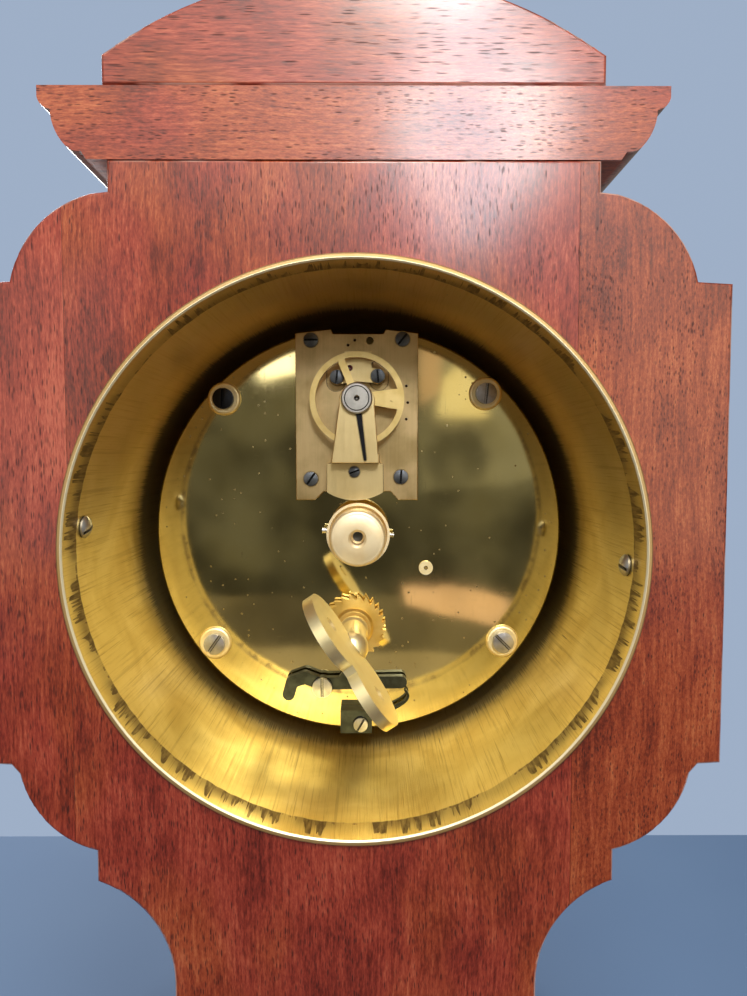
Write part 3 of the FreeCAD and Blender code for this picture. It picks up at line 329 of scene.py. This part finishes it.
def mouth_marks(look, drawn, inward):
    """Dark residue where the cover's rim slid: a broken line 6 mm in, with blotches hanging from it."""
    end = look.plus(6.0, look.spread(drawn(0.35, 0.02, 55.0, detail=2.0), -0.5, 0.5))
    away = look.minus(end, inward)
    inside = look.band(away, -0.25, 0.10)
    patches = look.band(drawn(0.075, 0.02, 31.0, detail=3.0, roughness=0.6), 0.41, 0.53)
    teeth = look.band(drawn(0.42, 0.02, 77.0, detail=3.0, roughness=0.7), 0.45, 0.55)
    reach = look.times(look.times(patches, teeth), 5.2)
    hanging = look.times(look.band(look.minus(reach, away), -0.1, 0.6), inside)
    hanging = look.times(hanging, look.spread(drawn(1.6, 0.30, 9.0, detail=4.0), 0.35, 1.45))
    dots = look.band(drawn(0.5, 0.05, 3.0, detail=4.0, roughness=0.7), 0.44, 0.60)
    line = look.times(look.times(look.band(away, 0.95, 0.45), inside), dots)
    veil = look.spread(patches, 0.36, 0.74)
    film = look.times(inside, look.times(look.band(away, 5.5, 0.5), veil))
    grime = look.larger(look.larger(hanging, look.times(line, 0.85)), film)
    return look.math("MINIMUM", grime, 1.0)


def polished_plate():
    """Mirror-polished brass with hairline scratches and faint tarnish."""
    look = Look("polished_plate", metallic=1.0, roughness=0.10)
    cloud = look.noise(look.stretched((0.06, 0.06, 0.06)), detail=5.0, roughness=0.6)
    color = look.ramp(cloud, (0.32, (0.78, 0.640, 0.280)), (0.68, (0.86, 0.735, 0.370)))
    scratch = look.noise(look.stretched((0.20, 1.0, 5.0), (5.0, 0.0, 2.0)), detail=2.0, roughness=0.8)
    cross = look.noise(look.stretched((4.0, 1.0, 0.12), (1.0, 0.0, 7.0)), detail=3.0, roughness=0.8)
    hair = look.larger(look.band(scratch, 0.66, 0.80), look.band(cross, 0.58, 0.90))
    speck, chance = look.cells(look.stretched((0.75, 0.75, 0.75)))
    spots = look.times(look.band(speck, 0.24, 0.10), look.band(chance, 0.80, 0.86))
    color = look.mix(look.times(spots, 0.5), color, rgb(0.30, 0.18, 0.06))
    look.set("Base Color", color)
    rough = look.plus(look.spread(cloud, 0.03, 0.10), look.times(hair, 0.14))
    look.set("Roughness", look.plus(rough, look.times(spots, 0.25)))
    wave = look.noise(look.stretched((0.10, 0.10, 0.10), (9.0, 3.0, 0.0)), detail=1.0)
    soft = look.bump(wave, 0.05, 0.5)
    look.bump(hair, 0.003, 0.12, under=soft)
    return look.material


def brass(name, light, dark, roughness, brush=(0.4, 0.4, 6.0), wear=0.5, metallic=1.0):
    """Worked brass: brushed one way, a little darker in blotches, with painted shade in its holes."""
    look = Look(name, metallic=metallic, roughness=roughness)
    cloud = look.noise(look.stretched((0.16, 0.16, 0.16)), detail=4.0)
    lines = look.noise(look.stretched(brush), detail=4.0, roughness=0.7)
    blotch = look.plus(look.band(cloud, 0.35, 0.75), look.spread(lines, -0.35, 0.35))
    color = look.mix(look.times(blotch, wear), rgb(*light), rgb(*dark))
    # painted shade: slots and holes are darkened towards near black
    look.set("Base Color", look.mix(look.recess_shade(0.5), color, rgb(0.050, 0.022, 0.010)))
    look.set("Roughness", look.spread(lines, roughness - 0.08, roughness + 0.10))
    look.bump(lines, 0.012, 0.5)
    return look.material


def turned_brass(name, node, light, dark, roughness, metallic=1.0, depth=0.008):
    """Brass with fine lathe rings about the axis of the named node."""
    look = Look(name, metallic=metallic, roughness=roughness)
    low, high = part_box(node)
    middle = (low + high) / 2
    x, y, z = look.axes()
    dx = look.minus(x, middle.x / MM)
    dz = look.minus(z, middle.z / MM)
    across = look.times(look.length(dx, dz), RINGS_PER_MM)
    rings = look.noise(look.add("CombineXYZ", {"X": across, "Y": y}).outputs[0], detail=3.0)
    cloud = look.noise(look.stretched((0.25, 0.25, 0.25)), detail=3.0)
    look.set("Base Color", look.mix(look.band(cloud, 0.35, 0.75), rgb(*light), rgb(*dark)))
    look.set("Roughness", look.spread(rings, roughness - 0.06, roughness + 0.10))
    look.bump(rings, depth, 0.6)
    return look.material


def steel(name, color, roughness, blotch=0.3, black_corner=False):
    """Worked steel, with painted shade in its slots and holes; black_corner darkens what lies above the
    axis on the +X side.
    """
    look = Look(name, metallic=1.0, roughness=roughness)
    cloud = look.noise(look.stretched((0.5, 0.5, 0.5)), detail=4.0)
    lines = look.noise(look.stretched((0.8, 0.8, 9.0)), detail=3.0)
    dark = tuple(c * (1 - blotch) for c in color)
    color = look.mix(look.band(cloud, 0.35, 0.7), rgb(*color), rgb(*dark))
    if black_corner:
        x, _, z = look.axes()
        corner = look.times(look.band(x, 0.0, 5.0), look.band(z, AXIS_Z / MM, AXIS_Z / MM + 5.0))
        color = look.mix(corner, color, rgb(0.030, 0.032, 0.038))
    # painted shade: slots and holes are darkened to near black
    color = look.mix(look.recess_shade(0.45, 0.90, 0.58), color, rgb(0.010, 0.009, 0.008))
    look.set("Base Color", color)
    look.set("Roughness", look.spread(lines, roughness - 0.06, roughness + 0.12))
    look.bump(lines, 0.006, 0.5)
    return look.material


# ---- enamel, glass, jewel ----
def enamel():
    look = Look("enamel", roughness=0.16, Coat_Weight=0.8, Coat_Roughness=0.05)
    cloud = look.noise(look.stretched((0.05, 0.05, 0.05)), detail=4.0)
    look.set("Base Color", look.ramp(cloud, (0.3, (0.80, 0.77, 0.68)), (0.7, (0.88, 0.86, 0.79))))
    look.bump(look.noise(look.stretched((0.6, 0.6, 0.6)), detail=2.0), 0.01, 0.3)
    return look.material


def black_enamel():
    look = Look("black_enamel", roughness=0.25)
    grain = look.noise(look.stretched((2.0, 2.0, 2.0)), detail=3.0)
    look.set("Base Color", look.ramp(grain, (0.3, (0.012, 0.012, 0.014)), (0.7, (0.03, 0.03, 0.034))))
    return look.material


def crystal():
    look = Look("crystal", color=(0.97, 0.98, 0.98), roughness=0.02, Transmission_Weight=1.0, IOR=1.5)
    smear = look.noise(look.stretched((0.05, 0.05, 0.05)), detail=3.0)
    look.set("Roughness", look.spread(smear, 0.01, 0.05))
    return look.material


def ruby():
    look = Look("ruby", color=(0.62, 0.04, 0.12), roughness=0.06, Transmission_Weight=0.6, IOR=1.76)
    cloud = look.noise(look.stretched((2.0, 2.0, 2.0)), detail=2.0)
    look.set("Base Color", look.ramp(cloud, (0.3, (0.45, 0.02, 0.08)), (0.7, (0.75, 0.08, 0.18))))
    return look.material


# ---- what each CAD node is made of ----
def dress(material, *names):
    for name in names:
        node = nodes[name]
        node.data.materials.clear()
        node.data.materials.append(material)


def dress_case():
    dress(mahogany("mahogany_back", Z_AXIS, (3.0, 0.0, 40.0)), "back_board")
    dress(mahogany("mahogany_cheek_left", Z_AXIS, (90.0, 7.0, 11.0), (0.98, 1.0, 0.95), 1.0, 0.25),
          "back_cheek_left")
    dress(mahogany("mahogany_cheek_right", Z_AXIS, (51.0, 3.0, 70.0), (1.03, 1.0, 1.05), 2.0),
          "back_cheek_right")
    dress(mahogany("mahogany_cornice", X_AXIS, (0.0, 12.0, 5.0), (1.08, 1.12, 1.05), 1.6, 0.08), "cornice")
    dress(mahogany("mahogany_pediment", X_AXIS, (33.0, 2.0, 61.0), (1.02, 1.10, 1.12), 3.4), "pediment")
    dress(mahogany("mahogany_front", Z_AXIS, (17.0, 5.0, 20.0), paint_arris_highlight=False), "front_board")
    dress(mahogany("mahogany_sides", Z_AXIS, (71.0, 9.0, 30.0), paint_arris_highlight=False), "carcase_side_left",
          "carcase_side_right", "carcase_top_block", "carcase_waist_block")
    dress(mahogany("mahogany_base", X_AXIS, (8.0, 31.0, 2.0), paint_arris_highlight=False), "base_moulding", "plinth")
    dress(boxwood(), "stringing_inlay")
    dress(turned_brass("foot_brass", "feet", (0.74, 0.55, 0.20), (0.52, 0.35, 0.11), 0.22), "feet")


def dress_movement():
    dress(drum_brass(), "drum_liner")
    dress(polished_plate(), "back_plate")
    plain = brass("train_brass", (0.74, 0.56, 0.22), (0.56, 0.38, 0.12), 0.28)
    dress(plain, "front_plate", "pillars", "barrel", "barrel_cover", "intermediate_wheel",
          "centre_wheel", "third_wheel", "fourth_wheel", "minute_wheel", "hour_wheel",
          "posts_and_brackets", "movement_ring")
    dress(turned_brass("bezel_brass", "bezel", (0.80, 0.62, 0.25), (0.66, 0.48, 0.17), 0.16), "bezel")
    dress(brass("platform_gilt", (0.68, 0.50, 0.25), (0.39, 0.275, 0.11), 0.34, (2.2, 1.0, 0.06), 0.8),
          "platform_plate")
    dress(brass("cock_gilt", (0.88, 0.69, 0.345), (0.67, 0.49, 0.20), 0.34, (2.2, 1.0, 0.12)),
          "balance_cock", "escape_cock")
    dress(turned_brass("balance_brass", "balance_wheel", (0.96, 0.73, 0.31), (0.80, 0.57, 0.20), 0.30),
          "balance_wheel")
    dress(turned_brass("washer_brass", "set_knob", (1.0, 0.88, 0.56), (0.92, 0.74, 0.38), 0.46),
          "pillar_washers", "train_bush")
    dress(turned_brass("ratchet_brass", "ratchet_wheel", (0.95, 0.70, 0.26), (0.80, 0.54, 0.14), 0.34),
          "ratchet_wheel")
    dress(turned_brass("knob_brass", "set_knob", (0.98, 0.84, 0.56), (0.92, 0.74, 0.44), 0.42, 0.7, 0.002),
          "set_knob")
    dress(brass("key_brass", (1.0, 0.88, 0.52), (0.92, 0.74, 0.36), 0.34, (0.5, 1.2, 0.5), 0.5, 0.85),
          "winding_key")
    dress(steel("bright_steel", (0.72, 0.71, 0.68), 0.36), "drum_screws", "click_screws", "barrel_arbor",
          "balance_staff", "knob_pin", "escape_wheel")
    dress(steel("cap_steel", (0.52, 0.50, 0.46), 0.44, 0.25), "endpiece_cap")
    dress(steel("dark_steel", (0.15, 0.16, 0.175), 0.34, 0.45), "platform_screws", "cock_screws",
          "setting_arbor")
    dress(steel("pillar_steel", (0.52, 0.51, 0.53), 0.34, 0.35, True), "pillar_screws")
    dress(steel("blued_steel", (0.045, 0.065, 0.15), 0.22, 0.4), "hour_hand", "minute_hand")
    dress(steel("spring_steel", (0.20, 0.24, 0.34), 0.22), "mainspring", "hairspring")
    dress(steel("black_steel", (0.075, 0.085, 0.08), 0.30, 0.4), "click", "spring_block")
    dress(steel("pointer_steel", (0.028, 0.028, 0.032), 0.30, 0.4), "regulator")
    dress(enamel(), "dial")
    dress(crystal(), "dial_glass")
    dress(ruby(), "jewels")


def soften(width_mm, *names):
    """Round a node's edges."""
    for name in names:
        bevel = nodes[name].modifiers.new("arris", "BEVEL")
        bevel.width = width_mm * MM
        bevel.segments = 3
        bevel.limit_method = "ANGLE"
        bevel.angle_limit = math.radians(35)


def as_piece(name, mesh, material):
    """A new object from a bmesh, with its faces turned outwards."""
    bmesh.ops.recalc_face_normals(mesh, faces=mesh.faces)
    data = bpy.data.meshes.new(name)
    mesh.to_mesh(data)
    mesh.free()
    data.materials.append(material)
    piece = bpy.data.objects.new(name, data)
    bpy.context.scene.collection.objects.link(piece)
    return piece


# ---- printed dial ----
NUMERAL_TALL = 8.4
NUMERAL_IN = 12.6           # from the dial's edge to the middle of a numeral
TRACK_OUT, TRACK_IN = 4.6, 6.6
TRACK_LINE = 0.22
HOUR_TICK, MINUTE_TICK = 0.75, 0.26
PRINT_LOW, PRINT_HIGH = 0.004, 0.05


def stroke(start, end, width):
    """A straight bar between two (across, up) points, width wide."""
    along_it = Vector(end) - Vector(start)
    side = Vector((-along_it.y, along_it.x)).normalized() * (width / 2)
    return [Vector(start) - side, Vector(end) - side, Vector(end) + side, Vector(start) + side]


def roman_strokes(numeral, tall):
    """The bars of a Roman numeral, centred on the origin, lengths in millimetres."""
    thick, thin = 0.17 * tall, 0.055 * tall
    wide = {"I": 0.30 * tall, "V": 0.62 * tall, "X": 0.62 * tall}
    left = -sum(wide[letter] for letter in numeral) / 2
    bars = []
    for letter in numeral:
        middle, half = left + wide[letter] / 2, wide[letter] / 2
        reach = half - 0.10 * tall
        if letter == "I":
            bars.append(stroke((middle, -tall / 2), (middle, tall / 2), thick))
        elif letter == "V":
            bars.append(stroke((middle - reach, tall / 2), (middle, -tall / 2), thick))
            bars.append(stroke((middle + reach, tall / 2), (middle, -tall / 2), thin))
        else:
            bars.append(stroke((middle - reach, tall / 2), (middle + reach, -tall / 2), thick))
            bars.append(stroke((middle + reach, tall / 2), (middle - reach, -tall / 2), thin))
        for level in (-tall / 2, tall / 2):
            bars.append(stroke((middle - half * 0.92, level), (middle + half * 0.92, level), thin))
        left += wide[letter]
    return bars


def on_dial(points, angle, radius):
    """Points (across, up) in millimetres, set upright at a clock angle and radius, as (x, z) in metres."""
    turned = []
    for point in points:
        up = radius + point.y
        x = up * math.sin(angle) + point.x * math.cos(angle)
        z = up * math.cos(angle) - point.x * math.sin(angle)
        turned.append((x * MM, AXIS_Z + z * MM))
    return turned


def printed(name, shapes, material):
    """Flat shapes printed on the dial, as closed slivers of enamel."""
    mesh = bmesh.new()
    back, front = DIAL_FACE - PRINT_LOW * MM, DIAL_FACE - PRINT_HIGH * MM
    for shape in shapes:
        low = [mesh.verts.new((x, back, z)) for x, z in shape]
        high = [mesh.verts.new((x, front, z)) for x, z in shape]
        mesh.faces.new(low)
        mesh.faces.new(high[::-1])
        for i in range(len(shape)):
            j = (i + 1) % len(shape)
            mesh.faces.new((low[j], low[i], high[i], high[j]))
    piece = as_piece(name, mesh, material)
    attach(piece, "case")


def track_segments(radius, width):
    """A circle on the dial, as short bars end to end."""
    steps = 180
    half = math.tan(math.pi / steps)
    bars = []
    for i in range(steps):
        corners = [Vector((s * half * (radius + o), o)) for s, o in
                   ((-1, -width / 2), (1, -width / 2), (1, width / 2), (-1, width / 2))]
        bars.append(on_dial(corners, i * 2 * math.pi / steps, radius))
    return bars


def dial_print():
    names = ("XII", "I", "II", "III", "IIII", "V", "VI", "VII", "VIII", "IX", "X", "XI")
    shapes = []
    for hour, numeral in enumerate(names):
        angle = hour * math.pi / 6
        bars = roman_strokes(numeral, NUMERAL_TALL)
        shapes += [on_dial(bar, angle, DIAL_R / MM - NUMERAL_IN) for bar in bars]
    printed("dial_numerals", shapes, black_enamel())
    outer, inner = DIAL_R / MM - TRACK_OUT, DIAL_R / MM - TRACK_IN
    shapes = track_segments(outer, TRACK_LINE) + track_segments(inner, TRACK_LINE)
    for minute in range(60):
        wide = HOUR_TICK if minute % 5 == 0 else MINUTE_TICK
        tick = stroke((0.0, -1.0), (0.0, 1.0), wide)
        shapes.append(on_dial(tick, minute * math.pi / 30, (outer + inner) / 2))
    printed("minute_track", shapes, black_enamel())


# ---- the click's spring ----
# (x, z) along the middle of the spring, root first, in millimetres from the drum's axis.
LEAF_KNOTS = ((-2.6, -39.4), (-6.4, -38.6), (-9.6, -36.9), (-10.6, -35.4), (-9.9, -34.05))
LEAF_WIDTH = 0.62           # at the root
LEAF_TAPER = 0.3            # share of its width that it loses on the way to the tip
LEAF_EDGE = 0.07            # chamfer of its edges


def smooth_line(knots, steps):
    """A smooth curve through 2-D knots, with this many steps from each to the next."""
    ends = [2 * knots[0] - knots[1]] + knots + [2 * knots[-1] - knots[-2]]
    line = []
    for a, b, c, d in zip(ends, ends[1:], ends[2:], ends[3:]):
        for i in range(steps):
            t = i / steps
            line.append(0.5 * (2 * b + (c - a) * t + (2 * a - 5 * b + 4 * c - d) * t ** 2
                               + (3 * b - a - 3 * c + d) * t ** 3))
    return line + [knots[-1]]


def leaf_section(y0, y1):
    """Corners (across, y) of the spring's chamfered section, at its root."""
    half, inner, edge = LEAF_WIDTH / 2, LEAF_WIDTH / 2 - LEAF_EDGE, LEAF_EDGE * MM
    return ((-half, y0 + edge), (-inner, y0), (inner, y0), (half, y0 + edge),
            (half, y1 - edge), (inner, y1), (-inner, y1), (-half, y1 - edge))


def click_leaf():
    """A flat spring bent along LEAF_KNOTS: its root sits in the block and its tip at the click."""
    low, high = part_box("click_spring")
    line = smooth_line([Vector(knot) for knot in LEAF_KNOTS], 8)
    last = len(line) - 1
    mesh = bmesh.new()
    rings = []
    for i, spot in enumerate(line):
        heading = (line[min(i + 1, last)] - line[max(i - 1, 0)]).normalized()
        side = Vector((-heading.y, heading.x)) * (1 - LEAF_TAPER * i / last)
        ring = []
        for across, y in leaf_section(low.y, high.y):
            at = spot + side * across
            ring.append(mesh.verts.new((at.x * MM, y, AXIS_Z + at.y * MM)))
        rings.append(ring)
    for one, other in zip(rings, rings[1:]):
        for i in range(len(one)):
            j = (i + 1) % len(one)
            mesh.faces.new((one[i], one[j], other[j], other[i]))
    mesh.faces.new(rings[0][::-1])
    mesh.faces.new(rings[-1])
    piece = as_piece("click_leaf", mesh, nodes["click"].active_material)
    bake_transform(piece)
    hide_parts("click_spring")


# ---- stage, light and camera ----
FLOOR_REACH = 3.0
CARD_LOW = 0.002            # a mirrored card stays this far above the floor
SHADE_HEIGHT = 0.004        # of the card that darkens the floor in reflections
SENSOR, LENS = 36.0, 27.04  # millimetres
CAMERA_TILT = 90 - 3.3      # degrees up from straight down: it looks 3.3 degrees below level
CAMERA_TURN = 180 - 0.22    # degrees about Z, from looking along +Y


def area(name, place, aim, size, power, color=(1.0, 1.0, 1.0)):
    data = bpy.data.lights.new(name, "AREA")
    data.shape = "DISK"
    data.size = size
    data.energy = power
    data.color = color
    lamp = bpy.data.objects.new(name, data)
    lamp.location = place
    lamp.rotation_euler = (Vector(aim) - Vector(place)).to_track_quat("-Z", "Y").to_euler()
    bpy.context.scene.collection.objects.link(lamp)


def plane(name, corners, material):
    mesh = bpy.data.meshes.new(name)
    mesh.from_pydata([Vector(c) for c in corners], [], [tuple(range(len(corners)))])
    mesh.materials.append(material)
    thing = bpy.data.objects.new(name, mesh)
    bpy.context.scene.collection.objects.link(thing)
    return thing


def only_reflected(thing):
    """A studio card lights nothing and is seen only in polished surfaces."""
    thing.visible_camera = False
    thing.visible_diffuse = False
    thing.visible_shadow = False


def glow(name, color, uneven=0.0):
    """A light of its own, cloudy by the share that uneven states."""
    look = Look(name, color=(0.0, 0.0, 0.0), roughness=1.0)
    cloud = look.noise(look.stretched((0.012, 0.012, 0.012)), detail=2.0)
    look.set("Emission Color", rgb(*color))
    look.set("Emission Strength", look.spread(look.band(cloud, 0.35, 0.65), 1 - uneven, 1 + uneven))
    return look.material


def overhead_card(name, azimuth, elevation, distance, width, height, color):
    """A card square to the drum's mouth, azimuth from +Y towards -X, in degrees."""
    turn, rise = math.radians(azimuth), math.radians(elevation)
    level = math.cos(rise)
    toward = Vector((-math.sin(turn) * level, math.cos(turn) * level, math.sin(rise)))
    centre = Vector((0.0, RIM_Y, AXIS_Z)) + toward * distance
    side = toward.cross(Vector((0, 0, 1))).normalized() * (width / 2)
    up = side.cross(toward).normalized() * (height / 2)
    low, high = centre - up, centre + up
    only_reflected(plane(name, [low - side, low + side, high + side, high - side], glow(name, color)))


def mirrored_card(name, spots, color, far=0.60, uneven=0.0):
    """A card that the camera sees in the back plate, at these (x, z) in mm from the drum's axis."""
    corners = []
    for x, z in spots:
        spot = Vector((x * MM, PLATE_Y, AXIS_Z + z * MM))
        ray = spot - CAMERA_AT
        reach = (far - PLATE_Y) / -ray.y
        corners.append((spot.x + ray.x * reach, far, max(spot.z + ray.z * reach, CARD_LOW)))
    only_reflected(plane(name, corners, glow(name, color, uneven)))


def on_floor(half, y0, y1, height):
    """Corners of a level rectangle, from y0 to y1 and half to each side."""
    return [(-half, y0, height), (half, y0, height), (half, y1, height), (-half, y1, height)]


def stage():
    """A blue table top that ends beyond the dial, and a plain wall of the same hue."""
    floor = Look("floor", roughness=0.75)
    cloud = floor.noise(floor.stretched((0.01, 0.01, 0.01)), detail=2.0)
    floor.set("Base Color", floor.ramp(cloud, (0.3, (0.145, 0.25, 0.45)), (0.7, (0.16, 0.27, 0.47))))
    plane("floor", on_floor(FLOOR_REACH, -TABLE_EDGE, FLOOR_REACH, 0.0), floor.material)
    world = bpy.data.worlds.new("studio")
    world.use_nodes = True
    tree = world.node_tree
    wall = tree.nodes.new("ShaderNodeMix")
    wall.data_type = "RGBA"
    tree.links.new(tree.nodes.new("ShaderNodeLightPath").outputs["Is Camera Ray"], wall.inputs[0])
    wall.inputs[6].default_value = rgb(0.19, 0.18, 0.165)
    wall.inputs[7].default_value = rgb(0.345, 0.43, 0.57)
    tree.links.new(wall.outputs[2], tree.nodes["Background"].inputs["Color"])
    bpy.context.scene.world = world
    bpy.context.scene.view_settings.view_transform = "Standard"


def lights():
    top = Vector((0.0, RIM_Y, AXIS_Z + 0.03))
    area("key", (-0.03, 0.26, AXIS_Z + 0.28), top, 0.12, 0.9, (1.0, 0.95, 0.88))
    area("window", (-0.16, 1.04, AXIS_Z + 0.50), top, 0.24, 3.0)
    area("front_fill", (0.35, -0.9, AXIS_Z + 0.46), (0, -0.04, AXIS_Z), 0.5, 7.0)


def cards():
    overhead_card("ceiling_left", -22.0, 40.0, 1.5, 1.25, 1.1, (1.45, 1.35, 1.15))
    overhead_card("ceiling_right", 26.0, 40.0, 1.5, 1.25, 1.1, (0.95, 0.90, 0.78))
    overhead_card("window_card", 8.0, 28.0, 1.1, 0.11, 0.40, (11.0, 11.7, 13.2))
    overhead_card("side_card", 33.0, 7.0, 1.2, 0.60, 0.82, (1.55, 1.40, 1.10))
    overhead_card("far_side_card", -33.0, 2.0, 1.2, 0.56, 0.60, (1.2, 1.08, 0.9))
    mirrored_card("dark_card", [(44, -44), (44, 48), (-44, 48), (-44, -44)], (0.085, 0.080, 0.060),
                  0.64, 0.55)
    mirrored_card("grey_card", [(-13, 8), (-12, 45), (-44, 45), (-44, 12)], (0.19, 0.18, 0.14), 0.62, 0.5)
    mirrored_card("white_card", [(13, 33), (13, 42), (25, 42), (21, 32)], (2.6, 2.5, 2.3))
    mirrored_card("lamp_card", [(-16, 24), (-18, 33), (-24, 37), (-28, 24)], (0.95, 0.82, 0.52))
    mirrored_card("blush_card", [(-13, 26), (-13, 39), (-18, 39), (-17, 30)], (0.60, 0.42, 0.30), 0.59)
    mirrored_card("pink_card", [(-9, -12), (-23, -12), (-33, -15), (-30, -21), (-10, -16)],
                  (0.78, 0.52, 0.38), 0.30, 0.3)
    mirrored_card("lap_card", [(36, -14), (36, -27), (-36, -27), (-36, -14)], (0.13, 0.11, 0.075),
                  0.32, 0.5)
    mirrored_card("low_card", [(30, -25), (30, -42), (-30, -42), (-30, -27)], (0.44, 0.36, 0.23), 0.30, 0.3)
    only_reflected(plane("shade_card", on_floor(0.3, 0.07, 0.7, SHADE_HEIGHT),
                         glow("shade_card", (0.085, 0.055, 0.035))))


def camera():
    data = bpy.data.cameras.new("camera")
    data.sensor_width = SENSOR
    data.lens = LENS
    data.clip_start = 0.005
    view = bpy.data.objects.new("camera", data)
    view.location = CAMERA_AT
    view.rotation_euler = Euler((math.radians(CAMERA_TILT), 0.0, math.radians(CAMERA_TURN)))
    bpy.context.scene.collection.objects.link(view)
    bpy.context.scene.camera = view


dress_case()
dress_movement()
dial_print()
click_leaf()
soften(0.35, "cornice", "plinth", "base_moulding")
soften(0.22, "winding_key")
stage()
lights()
cards()
camera()
